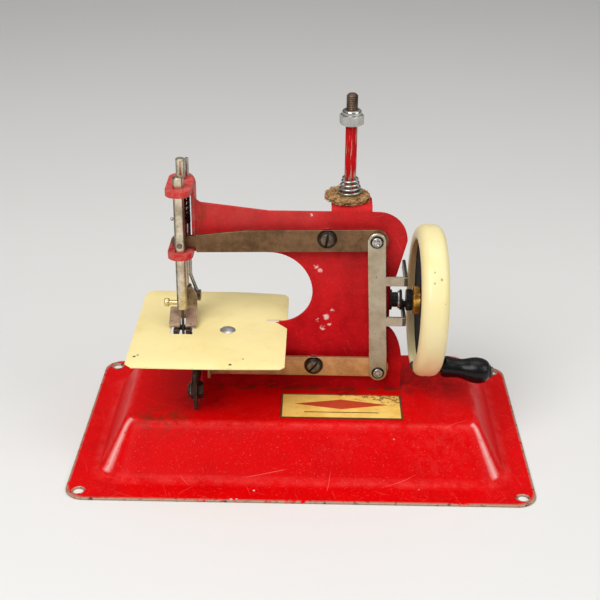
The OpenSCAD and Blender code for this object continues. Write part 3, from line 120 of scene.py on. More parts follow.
class Graph:
    """A material's node tree, built with short calls. Every texture reads the object's own coordinates."""

    def __init__(self, name):
        self.material = bpy.data.materials.new(name)
        self.material.use_nodes = True
        self.tree = self.material.node_tree
        self.shader = self.tree.nodes["Principled BSDF"]
        self.place = self.node("ShaderNodeTexCoord").outputs["Object"]
        self.color = None

    def node(self, kind, **settings):
        node = self.tree.nodes.new(kind)
        for key, value in settings.items():
            setattr(node, key, value)
        return node

    def feed(self, socket, value):
        if isinstance(value, bpy.types.NodeSocket):
            self.tree.links.new(value, socket)
        else:
            socket.default_value = value

    def stretched(self, stretch, turn):
        """The coordinates, turned and then scaled along each axis."""
        spun = self.node("ShaderNodeMapping")
        self.feed(spun.inputs["Vector"], self.place)
        spun.inputs["Rotation"].default_value = turn
        scaled = self.node("ShaderNodeMapping")
        self.feed(scaled.inputs["Vector"], spun.outputs["Vector"])
        scaled.inputs["Scale"].default_value = stretch
        return scaled.outputs["Vector"]

    def noise(self, scale, detail=3.0, rough=0.55, stretch=None, turn=(0.0, 0.0, 0.0)):
        node = self.node("ShaderNodeTexNoise")
        self.feed(node.inputs["Vector"], self.stretched(stretch, turn) if stretch else self.place)
        for socket, number in zip(("Scale", "Detail", "Roughness"), (scale, detail, rough)):
            node.inputs[socket].default_value = number
        return node.outputs["Fac"]

    def step(self, value, low, high, bottom=0.0, top=1.0):
        """A smooth step from bottom to top while the value goes from low to high."""
        node = self.node("ShaderNodeMapRange", interpolation_type="SMOOTHSTEP")
        self.feed(node.inputs["Value"], value)
        for socket, number in zip(("From Min", "From Max", "To Min", "To Max"), (low, high, bottom, top)):
            node.inputs[socket].default_value = number
        return node.outputs["Result"]

    def fall(self, value, low, high):
        return self.step(value, low, high, 1.0, 0.0)

    def cloud(self, scale, low, high, detail=3.0, rough=0.55):
        """Patches where a noise goes from low to high."""
        return self.step(self.noise(scale, detail, rough), low, high)

    def math(self, operation, a, b=0.0):
        node = self.node("ShaderNodeMath", operation=operation)
        self.feed(node.inputs[0], a)
        self.feed(node.inputs[1], b)
        return node.outputs[0]

    def vector(self, operation, a, b):
        node = self.node("ShaderNodeVectorMath", operation=operation)
        self.feed(node.inputs[0], a)
        self.feed(node.inputs[1], b)
        return node.outputs["Value" if operation in ("DOT_PRODUCT", "DISTANCE") else "Vector"]

    def chain(self, operation, shares):
        total = shares[0]
        for share in shares[1:]:
            total = self.math(operation, total, share)
        return total

    def both(self, *shares):
        """The product of several shares."""
        return self.chain("MULTIPLY", shares)

    def most(self, *shares):
        """The largest of several shares."""
        return self.chain("MAXIMUM", shares)

    def rest(self, share):
        return self.math("SUBTRACT", 1.0, share)

    def blend(self, a, a_share, b, b_share):
        return self.math("ADD", self.both(a, a_share), self.both(b, b_share))

    def mix(self, share, a, b):
        node = self.node("ShaderNodeMix", data_type="RGBA")
        for socket, value in ((0, share), (6, a), (7, b)):
            self.feed(node.inputs[socket], value)
        return node.outputs[2]

    def coat(self, tone, *shares):
        """Lays a tone over the colour so far, by the product of the shares."""
        self.color = self.mix(self.both(*shares), self.color, tone)

    def attribute(self, name):
        return self.node("ShaderNodeAttribute", attribute_name=name).outputs["Fac"]

    def axes(self):
        node = self.node("ShaderNodeSeparateXYZ")
        self.feed(node.inputs[0], self.place)
        return node.outputs

    def spot(self, place, radius, soft, stretch=EVEN):
        """A patch about a place in the object's frame, with a soft edge."""
        shifted = self.vector("SUBTRACT", self.place, place)
        scaled = self.vector("MULTIPLY", shifted, stretch)
        return self.fall(self.vector("DISTANCE", scaled, (0, 0, 0)), radius - soft, radius + soft)

    def spots(self, rows, soft_share, stretch=EVEN):
        """Patches given by place and radius in millimetres."""
        return self.most(*(
            self.spot(tuple(c * MM for c in place), r * MM, r * soft_share * MM, stretch)
            for *place, r in rows
        ))

    def streak(self, place, heading, half_l, half_w):
        """A thin scratch on a surface seen from above, along a heading in X and Y; sizes in millimetres."""
        along = Vector((*heading, 0.0)).normalized()
        across = Vector((-along.y, along.x, 0.0))
        length, width = half_l * MM, half_w * MM
        shifted = self.vector("SUBTRACT", self.place, tuple(c * MM for c in place))
        far = self.math("ABSOLUTE", self.vector("DOT_PRODUCT", shifted, tuple(along)))
        wide = self.math("ABSOLUTE", self.vector("DOT_PRODUCT", shifted, tuple(across)))
        ragged = self.math("ADD", wide, self.both(self.noise(600, 2.0), width))
        return self.both(self.fall(far, length * 0.4, length), self.fall(ragged, width * 0.7, width * 1.5))

    def flecks(self, gap, radius, share):
        """Scattered spots: mean gap between seeds and radius, in millimetres, and the share of seeds used."""
        cells = self.node("ShaderNodeTexVoronoi")
        self.feed(cells.inputs["Vector"], self.place)
        cells.inputs["Scale"].default_value = 1.0 / (gap * MM)
        split = self.node("ShaderNodeSeparateColor")
        self.feed(split.inputs[0], cells.outputs["Color"])
        reach = radius / gap
        wander = self.both(self.noise(2.0 / (radius * MM), 2.0), reach * 0.9)
        near = self.fall(self.math("ADD", cells.outputs["Distance"], wander), reach * 1.25, reach * 1.6)
        return self.both(near, self.step(split.outputs[0], 1.0 - share, 1.0 - share + 0.02))

    def scratches(self, *strokes):
        """Fine strokes: how many, waves per metre along X and across it, and turn of each set."""
        return self.most(*(
            self.step(self.noise(1.0, 2.0, 0.5, (far, wide, wide), turn), 0.78 - amount, 0.82 - amount)
            for amount, far, wide, turn in strokes
        ))

    def bump(self, *layers):
        """Stacks heights, each with its depth in millimetres."""
        normal = None
        for height, depth in layers:
            node = self.node("ShaderNodeBump")
            node.inputs["Distance"].default_value = depth * MM
            self.feed(node.inputs["Height"], height)
            if normal is not None:
                self.feed(node.inputs["Normal"], normal)
            normal = node.outputs["Normal"]
        return normal

    def finish(self, roughness, metallic=0.0, normal=None, gloss=0.5):
        self.feed(self.shader.inputs["Base Color"], self.color)
        self.feed(self.shader.inputs["Roughness"], roughness)
        self.feed(self.shader.inputs["Metallic"], metallic)
        if normal is not None:
            self.feed(self.shader.inputs["Normal"], normal)
        self.shader.inputs["Specular IOR Level"].default_value = gloss
        return self.material


RED = rgb(209, 4, 7)
RED_DEEP = rgb(198, 2, 5)
RED_WEAR_AND_SHEEN = rgb(226, 74, 70)
FRAME_RED = rgb(196, 16, 24)
FRAME_DEEP = rgb(164, 8, 16)
CREAM = rgb(243, 225, 160)
WHEEL_CREAM = rgb(235, 221, 167)
CREAM_AGED = rgb(236, 216, 146)
RUST = rgb(88, 46, 28)
GRIME = rgb(52, 20, 14)
# Dark tone for dirt and for painted shade and reflection on the metal pieces
SHADE_AND_DIRT = rgb(30, 22, 17)
PRIMER = rgb(74, 62, 52)
BARE = rgb(178, 152, 130)
WHITE_FLECK = rgb(240, 210, 204)
PAINT_GLOSS = 0.05
CREAM_GLOSS = 0.35
KNOB_GLOSS = 0.25
WOOL_GLOSS = 0.1

BASE_HALF = tuple(span("base_pan")[axis] / 2 for axis in (X, Y))
HOLE_INSET = 6.1 * MM
HOLE_PLACE = tuple(half - HOLE_INSET for half in BASE_HALF)
HOLE_R = 2.5 * MM
HOLE_CHIP = (HOLE_R + 1.1 * MM, HOLE_R + 1.6 * MM)
CHIP_WANDER = 1.6 * MM
PLATEAU_Z = span("base_pan").z
PLATEAU_EDGE = (PLATEAU_Z - 0.9 * MM, PLATEAU_Z - 0.2 * MM)

# Darker band along the frame's foot: the line's place in Y, how far it fades and its half length
FOOT_Y = -1.6 * MM
FOOT_FADE = (0.4 * MM, 4.2 * MM)
FOOT_HALF = (44 * MM, 56 * MM)
# Scuffed place of the plateau, as a spot
SCUFF = ((-64 * MM, -31 * MM, PLATEAU_Z), 8 * MM, 5 * MM, (0.7, 1.0, 1.0))
# Dark patches of the plateau, a painted shadow under the wheel at the first place and dirt at the others:
# place and radius in millimetres
BASE_SOOT_AND_SHADOW = ((60, 6, 23.5, 13), (-44, -14, 23.5, 8), (20, -6, 23.5, 7))
SOOT_REACH = (0.7, 1.0, 1.0)
# Pale chips of the base: place and radius in millimetres
BASE_CHIPS = (
    (-20.7, -55.2, 1.0, 0.5), (53.0, -52.5, 2.0, 0.9), (-30.4, -62.4, 1.0, 0.7), (-28.0, -62.0, 1.0, 0.4),
    (17.4, -39.4, 22.8, 0.6), (-19.1, -38.0, 22.8, 0.4),
)
# Scratches of the base: place in millimetres, heading, half length and half width
BASE_STREAKS = (
    ((12.6, -50.5, 12.0), (-0.18, -1.0), 5.5, 0.2),
    ((-16.0, -47.0, 18.0), (1.0, 0.12), 12.0, 0.14),
    ((44.0, -49.0, 14.0), (1.0, 0.3), 9.0, 0.14),
    ((-52.0, -50.0, 13.0), (0.7, -0.7), 4.0, 0.16),
    ((70.0, -32.0, 23.0), (0.9, 0.5), 8.0, 0.14),
)
BASE_STROKES = tuple((0.075, far, 2600, (0, 0, turn)) for far, turn in ((50, 0.4), (40, -0.8), (60, 1.3)))


def hole_distance(g, x, y):
    """Distance to the nearest of the four corner holes."""
    across = g.math("SUBTRACT", g.math("ABSOLUTE", x), HOLE_PLACE[0])
    deep = g.math("SUBTRACT", g.math("ABSOLUTE", y), HOLE_PLACE[1])
    return g.math("SQRT", g.blend(across, across, deep, deep))


def base_paint():
    """Red enamel, rubbed and lit with a painted highlight along the creases and front corners, bare round the
    holes, darker along the frame's foot and with a painted shadow under the wheel.
    """
    g = Graph("base_red_paint")
    x, y, z = g.axes()
    mottle = g.noise(60, 8.0, 0.7)
    g.color = g.mix(g.step(mottle, 0.4, 0.68), RED, RED_DEEP)
    g.coat(RED_WEAR_AND_SHEEN, g.cloud(800, 0.6, 0.68, 3.0, 0.6), 0.22)
    haze = g.both(g.cloud(22, 0.52, 0.72, 4.0), g.cloud(300, 0.42, 0.6, 4.0, 0.7))
    g.coat(RED_WEAR_AND_SHEEN, haze, 0.12)
    # Rubbed paint and a painted highlight along the creases
    g.coat(RED_WEAR_AND_SHEEN, g.attribute("crease"), g.cloud(180, 0.34, 0.62, 5.0, 0.7), 0.5)
    # Painted highlight down the front corners of the slope
    g.coat(rgb(248, 196, 190), g.attribute("corner"), g.cloud(260, 0.25, 0.5, 4.0, 0.7), 0.7)
    g.coat(rgb(238, 130, 122), g.flecks(1.7, 0.16, 0.5), 0.5)
    strokes = g.scratches(*BASE_STROKES)
    streaks = g.most(*(g.streak(*row) for row in BASE_STREAKS))
    g.coat(rgb(236, 120, 112), g.most(g.both(strokes, 0.3), g.both(streaks, 0.45)))
    flat = g.step(z, *PLATEAU_EDGE)
    dust = g.both(flat, g.cloud(90, 0.54, 0.74, 7.0, 0.75))
    g.coat(GRIME, dust, 0.4)
    # Darker band along the frame's foot
    foot_line = g.fall(g.math("ABSOLUTE", g.math("SUBTRACT", y, FOOT_Y)), *FOOT_FADE)
    foot_span = g.fall(g.math("ABSOLUTE", x), *FOOT_HALF)
    foot_dark = g.both(flat, foot_line, foot_span, g.cloud(240, 0.4, 0.6, 5.0, 0.7))
    scuff = g.both(g.spot(*SCUFF), g.cloud(200, 0.42, 0.62, 6.0, 0.75), 0.8)
    g.coat(RUST, g.most(foot_dark, scuff), 0.8)
    # Painted shadow under the wheel, and dirt patches elsewhere
    soot_and_shadow = g.spots(BASE_SOOT_AND_SHADOW, 0.7, SOOT_REACH)
    g.coat(rgb(92, 10, 10), soot_and_shadow, g.cloud(160, 0.36, 0.62, 6.0, 0.75), 0.6)
    g.coat(WHITE_FLECK, g.most(g.flecks(16, 0.35, 0.35), g.spots(BASE_CHIPS, 0.3)), 0.85)
    ragged = g.math("ADD", hole_distance(g, x, y), g.both(g.noise(700), CHIP_WANDER))
    rim = g.both(g.attribute("rim"), g.cloud(200, 0.36, 0.46, 5.0, 0.75))
    bare = g.most(g.fall(ragged, *HOLE_CHIP), rim, g.flecks(22, 0.4, 0.3))
    g.coat(g.mix(g.cloud(420, 0.54, 0.7, 4.0), BARE, PRIMER), bare)
    worn = g.most(dust, bare, strokes, haze)
    rough = g.step(g.blend(mottle, 0.5, worn, 0.4), 0.2, 0.8, 0.3, 0.62)
    normal = g.bump((g.noise(300, 3.0), 0.08), (g.rest(bare), 0.06))
    return g.finish(rough, g.both(bare, 0.5), normal, PAINT_GLOSS)


# Places on the frame that are rubbed through, with their radius, in millimetres
FRAME_SCARS = (
    (5.6, -1, 86.4, 1.2), (7.4, -1, 84.2, 1.0), (10.4, -1, 60.6, 1.4), (9.0, -1, 55.0, 1.2),
    (13.4, -1, 64.0, 0.9), (6.6, -1, 59.0, 0.9), (12.0, -1, 57.0, 0.9), (3.0, -1, 111.4, 0.7),
)
SCAR_REACH = (1.0, 0.2, 1.0)
FRAME_STROKES = ((0.085, 50, 2400, (0, 0.3, 0)), (0.075, 55, 2600, (0, -1.1, 0)))
NOSE_X = (-50 * MM, -47 * MM)
NOSE_STAIN = ((-46 * MM, -1 * MM, 111 * MM), 6 * MM, 4 * MM, (3.0, 1.0, 1.0))
# The painted sheen, a pale reflection, grows up the frame and is strongest on the arm
PAINTED_SHEEN_Z = (50 * MM, 100 * MM)
ARM_Z = (100 * MM, 112 * MM)
ARM_X = (0.0, 18 * MM)


def frame_paint(name, worn):
    """Red enamel of the frame with a painted pale sheen that grows up to the arm; the worn kind covers the
    edges, rubbed down to a pale line.
    """
    g = Graph(name)
    x, _, z = g.axes()
    mottle = g.noise(60, 7.0, 0.7)
    g.color = g.mix(g.step(mottle, 0.38, 0.68), FRAME_RED, FRAME_DEEP)
    g.coat(RED_WEAR_AND_SHEEN, g.cloud(800, 0.56, 0.72, 3.0, 0.6), 0.25)
    # Painted reflection: a pale sheen that grows up the frame and is strongest on the arm
    arm_sheen = g.both(g.step(z, *ARM_Z), g.step(x, *ARM_X, 0.09, 0.0))
    rubbed = g.math("ADD", g.step(z, *PAINTED_SHEEN_Z, 0.0, 0.05), arm_sheen)
    g.coat(rgb(232, 150, 138), rubbed, g.step(g.noise(90, 5.0), 0.2, 0.8, 0.6, 1.0))
    g.coat(rgb(226, 110, 104), g.scratches(*FRAME_STROKES), 0.4)
    g.coat(WHITE_FLECK, g.flecks(9, 0.3, 0.35), 0.8)
    g.coat(rgb(186, 108, 98), g.fall(x, *NOSE_X), g.cloud(300, 0.36, 0.6, 5.0, 0.7), 0.6)
    if worn:
        bare = g.cloud(260, 0.36, 0.5, 5.0, 0.7)
        g.coat(g.mix(g.cloud(900, 0.35, 0.65), rgb(226, 96, 90), rgb(226, 176, 164)), bare, 0.8)
    else:
        bare = g.flecks(15, 0.45, 0.4)
        g.coat(PRIMER, bare)
        g.coat(WHITE_FLECK, g.spots(FRAME_SCARS, 0.4, SCAR_REACH), g.cloud(420, 0.48, 0.56, 4.0, 0.7), 0.8)
        runs = g.step(g.noise(1.0, 4.0, 0.7, (900, 900, 120)), 0.42, 0.6)
        g.coat(rgb(110, 64, 34), g.spot(*NOSE_STAIN), runs, 0.6)
    normal = g.bump((g.noise(320, 3.0), 0.07), (g.rest(bare), 0.05))
    return g.finish(g.step(mottle, 0.3, 0.75, 0.3, 0.52), g.both(bare, 0.3), normal, PAINT_GLOSS)


# Pits in the cream paint: place and radius in millimetres
TABLE_PITS = (
    (-31.3, -42.4, 58, 0.75), (-25.9, -37.6, 58, 0.4), (-74.0, -36.5, 58, 0.7), (-72.6, -35.4, 58, 0.5),
    (-12.4, 24.0, 58, 0.6),
)
WHEEL_PITS = (
    (57.8, -19.4, 92.8, 0.35), (60.8, -21.7, 90.3, 0.55), (57.7, -22.8, 89.0, 0.4), (62.6, -27.4, 80.9, 0.35),
)
WHEEL_REACH = (1.0, 0.4, 1.0)
WHEEL_PIT_SHARE = 0.55
CREAM_STROKES = (0.075, 40, 2300, (0, 0, 0.25))


def cream_paint(name, pits=(), tone=CREAM, reach=EVEN, pit_share=1.0, worn=False):
    """Aged cream enamel with stains, small pits and, on the worn kind, chipped edges."""
    g = Graph(name)
    mottle = g.noise(42, 6.0, 0.65)
    g.color = g.mix(g.step(mottle, 0.42, 0.72), tone, CREAM_AGED)
    g.coat(rgb(206, 178, 104), g.cloud(85, 0.56, 0.76, 6.0, 0.72), 0.22)
    g.coat(rgb(188, 164, 108), g.scratches(CREAM_STROKES), 0.3)
    g.coat(rgb(150, 116, 66), g.flecks(5, 0.16, 0.4), 0.5)
    pitted = g.flecks(26, 0.4, 0.3)
    if pits:
        pitted = g.most(pitted, g.both(g.spots(pits, 0.35, reach), pit_share))
    if worn:
        pitted = g.most(pitted, g.cloud(330, 0.58, 0.66, 5.0, 0.7))
    g.coat(g.mix(g.cloud(900, 0.4, 0.6), PRIMER, RUST), pitted)
    normal = g.bump((g.noise(260, 3.0), 0.06), (g.rest(pitted), 0.07))
    return g.finish(g.step(mottle, 0.3, 0.75, 0.28, 0.46), 0.0, normal, CREAM_GLOSS)


def metal(name, bright, dull, spot, spots, rough, grain=(900, 900, 900), metallic=0.9, shade_and_dirt=None, gloss=0.5):
    """Bare or plated metal: clouded tone, fine grain and dark spots. An optional function gives the share of
    dirt and of painted shade and reflection.
    """
    g = Graph(name)
    cloud = g.noise(110, 7.0, 0.68)
    g.color = g.mix(g.step(cloud, 0.34, 0.68), rgb(*bright), rgb(*dull))
    stroke = g.noise(1.0, 3.0, 0.6, grain)
    g.coat(rgb(*dull), g.step(stroke, 0.5, 0.75), 0.35)
    pits = g.most(g.flecks(2.4, 0.18, spots), g.both(g.flecks(5, 0.35, spots), 0.8))
    g.coat(rgb(*spot), pits, 0.8)
    # Dirt together with painted shade and painted reflection
    if shade_and_dirt:
        g.coat(SHADE_AND_DIRT, shade_and_dirt(g), g.step(g.noise(500, 4.0), 0.3, 0.5, 0.75, 1.0))
    sheen = g.step(g.blend(cloud, 0.6, stroke, 0.4), 0.3, 0.72, *rough)
    normal = g.bump((stroke, 0.03), (g.rest(pits), 0.04))
    return g.finish(sheen, metallic, normal, gloss)


# Where dirt, painted shade and painted reflection darken the metal pieces: radii about the pivots, then
# places along an axis
SCREW_HALO = 4.5 * MM
RIVET_HALO = 3.1 * MM
HALO_SOFT = 0.35 * MM
RING_R = (2.9 * MM, 4.4 * MM)
# Painted shade on the link: its flange by the crank, and its lower part
LINK_SHADED_FLANGE_X = (45.3 * MM, 45.9 * MM)
LINK_SHADE_Z = (38 * MM, 60 * MM)
# Painted shade on the presser foot's upper end: heights where it fades in
FOOT_SHADE_Z = (64 * MM, 67 * MM)
# Painted dark reflection down the bars' sides: where it fades in, left and right of the bar's middle
BAR_LEFT = (-1.9 * MM, -1.1 * MM)
BAR_RIGHT = (1.3 * MM, 2.1 * MM)
# Painted shade on the lock nut's left faces: where it fades out
LOCK_NUT_EDGE = (1.3 * MM, 1.5 * MM)
THROUGH = (1.0, 0.0, 1.0)


def halo(radius, *joints):
    """Painted shade of the gaps, with dirt, round the heads of the pivots at these joints."""
    return lambda g: g.most(*(g.spot(JOINT_OF[j]["pos_m"], radius, HALO_SOFT, THROUGH) for j in joints))


def yoke_shade_and_dirt(g):
    """Painted shade on the flange that straddles the crank and down the link's lower part, with dirt and
    painted shade of the gaps round the rivets.
    """
    x, _, z = g.axes()
    low = g.spot(seat("yoke_bottom_rivet", Y), RIVET_HALO, HALO_SOFT, THROUGH)
    shaded_flange = g.step(x, *LINK_SHADED_FLANGE_X, 0.0, 0.85)
    return g.most(shaded_flange, low, g.step(z, *LINK_SHADE_Z, 0.3, 0.0), halo(RIVET_HALO, "yoke_swing")(g))


def bar_side_reflections(g):
    """Painted dark reflection down both sides of the two bars."""
    off = g.math("SUBTRACT", g.axes()[X], seat("needle_bar", Z).x)
    return g.most(g.step(off, *BAR_LEFT, 0.72, 0.0), g.step(off, *BAR_RIGHT, 0.0, 0.4))


def screw_ring(g):
    """Painted shade of the sunk ring, with dirt, round each slotted head."""
    inner, outer = (halo(r, "needle_lever_swing", "looper_lever_swing")(g) for r in RING_R)
    return g.both(outer, g.rest(inner), 0.9)


def foot_heel(g):
    """Painted shade on the upper end of the presser foot."""
    return g.step(g.axes()[Z], *FOOT_SHADE_Z, 0.0, 0.55)


def nut_shade(g):
    """Painted shade on the lock nut's left faces."""
    off = g.math("SUBTRACT", g.axes()[X], seat("spool_pin", Z).x)
    return g.step(off, *LOCK_NUT_EDGE, 0.3, 0.0)


def knob_lacquer():
    """Black lacquer on turned wood: fine turning lines, rubbed brown patches and a few chips."""
    g = Graph("black_lacquer")
    grain = g.noise(1.0, 4.0, 0.6, (50, 900, 900))
    rings = g.noise(1.0, 2.0, 0.5, (2400, 60, 60))
    rubbed = g.cloud(140, 0.54, 0.74, 6.0, 0.72)
    g.color = g.mix(g.step(grain, 0.4, 0.7), rgb(10, 10, 10), rgb(22, 20, 19))
    g.coat(rgb(50, 40, 34), rubbed, 0.35)
    chips = g.flecks(4, 0.25, 0.4)
    g.coat(rgb(112, 90, 70), chips, 0.8)
    rough = g.step(g.blend(grain, 0.5, rubbed, 0.5), 0.2, 0.8, 0.26, 0.52)
    return g.finish(rough, 0.0, g.bump((rings, 0.05), (grain, 0.03), (g.rest(chips), 0.05)), KNOB_GLOSS)


# Heights above the felt between which the pin's paint is worn off
PIN_WORN = (5 * MM, 17 * MM)


def pin_paint():
    """Red paint of the spool pin, scraped along its length and worn to steel near the bottom."""
    g = Graph("pin_red_paint")
    felt_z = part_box("felt_washer")[1].z
    strokes = g.noise(1.0, 4.0, 0.65, (1100, 1100, 60))
    low = g.step(g.axes()[Z], *(felt_z + rise for rise in PIN_WORN), 0.2, 0.0)
    bare = g.step(g.math("ADD", strokes, low), 0.57, 0.64)
    g.color = g.mix(g.noise(180, 4.0), rgb(206, 18, 24), rgb(150, 10, 16))
    g.coat(g.mix(g.noise(600, 3.0), rgb(206, 186, 166), rgb(126, 100, 84)), bare)
    g.coat(rgb(60, 28, 20), g.flecks(2.5, 0.2, 0.5), 0.7)
    normal = g.bump((g.rest(bare), 0.05), (strokes, 0.03))
    return g.finish(g.step(strokes, 0.3, 0.7, 0.5, 0.3), g.both(bare, 0.7), normal, PAINT_GLOSS)


def felt_wool(name, light, dark):
    """Matted wool."""
    g = Graph(name)
    fibre = g.noise(900, 6.0, 0.75)
    clump = g.noise(320, 4.0, 0.6)
    g.color = g.mix(g.step(g.blend(fibre, 0.6, clump, 0.4), 0.38, 0.6), rgb(*dark), rgb(*light))
    normal = g.bump((fibre, 0.4), (clump, 0.4))
    return g.finish(g.step(fibre, 0.3, 0.7, 0.85, 1.0), 0.0, normal, WOOL_GLOSS)


# The name plate's generic design, from the plate's middle: each pair is where an edge starts and ends
LOZENGE_Y = 1.6 * MM
LOZENGE_EDGE = (4.3 * MM, 4.5 * MM)
LOZENGE_SLOPE = 0.2
RULE_Y = -5.6 * MM
RULE_EDGE = (0.3 * MM, 0.45 * MM)
RULE_HALF = (17.0 * MM, 17.2 * MM)
BORDER_EDGE = (-1.0 * MM, -0.8 * MM)
RUSTY_CORNER = (4 * MM, 15 * MM)


def badge_gilt():
    """Gilt plate with a dark line round its edge, a red lozenge and a thin rule, rusty at the upper right."""
    g = Graph("badge_gilt")
    low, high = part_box("name_plate")
    mid, half = (low + high) / 2, (high - low) / 2
    u, v = (g.math("SUBTRACT", g.axes()[axis], mid[axis]) for axis in (X, Y))
    wide, tall = g.math("ABSOLUTE", u), g.math("ABSOLUTE", v)
    cloud = g.noise(120, 6.0, 0.7)
    g.color = g.mix(g.step(cloud, 0.35, 0.68), rgb(255, 220, 120), rgb(240, 194, 92))
    rise = g.math("ABSOLUTE", g.math("SUBTRACT", v, LOZENGE_Y))
    lozenge = g.math("ADD", g.both(wide, LOZENGE_SLOPE), rise)
    g.coat(rgb(190, 22, 24), g.fall(lozenge, *LOZENGE_EDGE), 0.92)
    off_rule = g.math("ABSOLUTE", g.math("SUBTRACT", v, RULE_Y))
    rule = g.both(g.fall(off_rule, *RULE_EDGE), g.fall(wide, *RULE_HALF))
    inset = g.most(g.math("SUBTRACT", wide, half.x), g.math("SUBTRACT", tall, half.y))
    g.coat(rgb(34, 24, 18), g.most(rule, g.step(inset, *BORDER_EDGE)), 0.9)
    corner = g.step(g.math("ADD", g.both(u, 0.3), v), *RUSTY_CORNER)
    rust = g.step(g.math("ADD", g.noise(420, 6.0, 0.78), g.both(corner, 0.16)), 0.62, 0.7)
    g.coat(rgb(96, 44, 26), rust, 0.85)
    normal = g.bump((g.noise(500, 3.0), 0.04), (g.rest(rust), 0.03))
    return g.finish(g.step(cloud, 0.3, 0.7, 0.32, 0.52), g.both(g.rest(rust), 0.12), normal)


def floor_paint():
    """Plain pale studio floor."""
    g = Graph("pale_floor")
    g.color = g.mix(g.noise(3, 2.0), rgb(226, 225, 222), rgb(220, 219, 217))
    return g.finish(0.6)


BRUSH_X = (60, 2600, 2600)
BRUSH_Z = (2600, 2600, 60)

# A metal's values: name, bright, dull and spot colours, share of spots, roughness and what else differs
FINISH = {
    "base": base_paint(),
    "frame": frame_paint("frame_red_paint", False),
    "frame_edge": frame_paint("frame_red_edge", True),
    "table": cream_paint("table_cream_paint", TABLE_PITS),
    "wheel": cream_paint("wheel_cream_paint", WHEEL_PITS, WHEEL_CREAM, WHEEL_REACH, WHEEL_PIT_SHARE),
    "cream_edge": cream_paint("cream_paint_edge", worn=True),
    "knob": knob_lacquer(),
    "pin": pin_paint(),
    "wool": felt_wool("felt_wool", (192, 152, 102), (96, 62, 38)),
    "fibre": felt_wool("felt_fibre", (206, 168, 116), (124, 86, 54)),
    "badge": badge_gilt(),
    "floor": floor_paint(),
    "link": metal(
        "link_nickel", (196, 184, 160), (172, 158, 132), (62, 46, 34), 0.5, (0.34, 0.48),
        BRUSH_Z, 0.8, yoke_shade_and_dirt,
    ),
    "bar": metal(
        "bar_nickel", (232, 220, 196), (164, 148, 122), (84, 66, 48), 0.35, (0.14, 0.3),
        BRUSH_Z, shade_and_dirt=bar_side_reflections,
    ),
    "zinc": metal("zinc_plate", (224, 226, 224), (176, 178, 174), (84, 78, 72), 0.4, (0.22, 0.4)),
    "bright": metal("bright_zinc", (196, 195, 190), (146, 143, 136), (84, 78, 70), 0.25, (0.16, 0.3)),
    "nut": metal(
        "nut_zinc", (206, 205, 200), (160, 157, 150), (84, 78, 70), 0.3, (0.12, 0.24), shade_and_dirt=nut_shade
    ),
    "bronze": metal(
        "tarnished_lever", (132, 100, 70), (94, 68, 46), (48, 32, 22), 0.5, (0.36, 0.54),
        BRUSH_Z, 0.75, halo(SCREW_HALO, "needle_lever_swing"),
    ),
    "tan": metal(
        "tan_lever", (210, 164, 114), (172, 128, 84), (78, 52, 34), 0.5, (0.36, 0.54),
        BRUSH_X, 0.7, halo(SCREW_HALO, "looper_lever_swing"),
    ),
    "foot": metal(
        "foot_plate", (206, 182, 154), (150, 124, 104), (58, 42, 34), 0.6, (0.32, 0.5),
        metallic=0.8, shade_and_dirt=foot_heel,
    ),
    "screw": metal(
        "dark_screw", (128, 110, 92), (78, 64, 52), (36, 28, 22), 0.5, (0.34, 0.5),
        metallic=0.8, shade_and_dirt=screw_ring,
    ),
    "dark": metal("dark_steel", (76, 58, 46), (40, 29, 23), (22, 15, 12), 0.5, (0.42, 0.62), metallic=0.6),
    "black": metal("black_steel", (38, 34, 32), (14, 12, 12), (100, 84, 70), 0.4, (0.3, 0.5), metallic=0.6),
    "disc": metal(
        "blackened_disc", (26, 23, 22), (12, 11, 11), (54, 42, 34), 0.4, (0.6, 0.8), metallic=0.0, gloss=0.06
    ),
    "brass": metal("dull_brass", (206, 158, 72), (132, 88, 36), (70, 44, 22), 0.6, (0.3, 0.52)),
    "pale_brass": metal("pale_brass", (226, 212, 156), (180, 158, 100), (104, 84, 50), 0.4, (0.24, 0.4)),
    "worn": metal("worn_edge", (220, 208, 188), (172, 156, 134), (90, 72, 54), 0.4, (0.2, 0.36)),
    "bronze_edge": metal("worn_lever_edge", (186, 158, 126), (130, 104, 78), (66, 48, 34), 0.5, (0.3, 0.46)),
    "dark_edge": metal(
        "dark_edge", (118, 96, 80), (62, 48, 40), (34, 24, 18), 0.5, (0.35, 0.5), metallic=0.7
    ),
}


# Shapes: a shape is a pair of points and faces


WELD = 1e-6
FLAT_ANGLE = 0.5
SHARP_ANGLE = 40.0
NODE_SHARP = 32.0
EDGE_SEGMENTS = 2


def smoothed(mesh, mend=False):
    """Turns faces outwards and shades them smoothly; mending first welds the mesh and joins flat faces."""
    shape = bmesh.new()
    shape.from_mesh(mesh)
    if mend:
        bmesh.ops.remove_doubles(shape, verts=shape.verts, dist=WELD)
        limit = math.radians(FLAT_ANGLE)
        bmesh.ops.dissolve_limit(shape, angle_limit=limit, verts=shape.verts, edges=shape.edges)
    bmesh.ops.recalc_face_normals(shape, faces=shape.faces)
    for face in shape.faces:
        face.smooth = True
    shape.to_mesh(mesh)
    shape.free()
    return mesh


def as_piece(name, mesh, finishes, sharp):
    """An object of a mesh, creased where its faces meet at more than the sharp angle."""
    for finish in finishes:
        mesh.materials.append(FINISH[finish])
    mesh.set_sharp_from_angle(angle=math.radians(sharp))
    piece = bpy.data.objects.new(name, mesh)
    bpy.context.scene.collection.objects.link(piece)
    return piece


def add_piece(name, shape, finishes, sharp=SHARP_ANGLE):
    verts, faces = shape
    mesh = bpy.data.meshes.new(name)
    mesh.from_pydata([tuple(v) for v in verts], [], faces)
    return as_piece(name, smoothed(mesh), finishes, sharp)


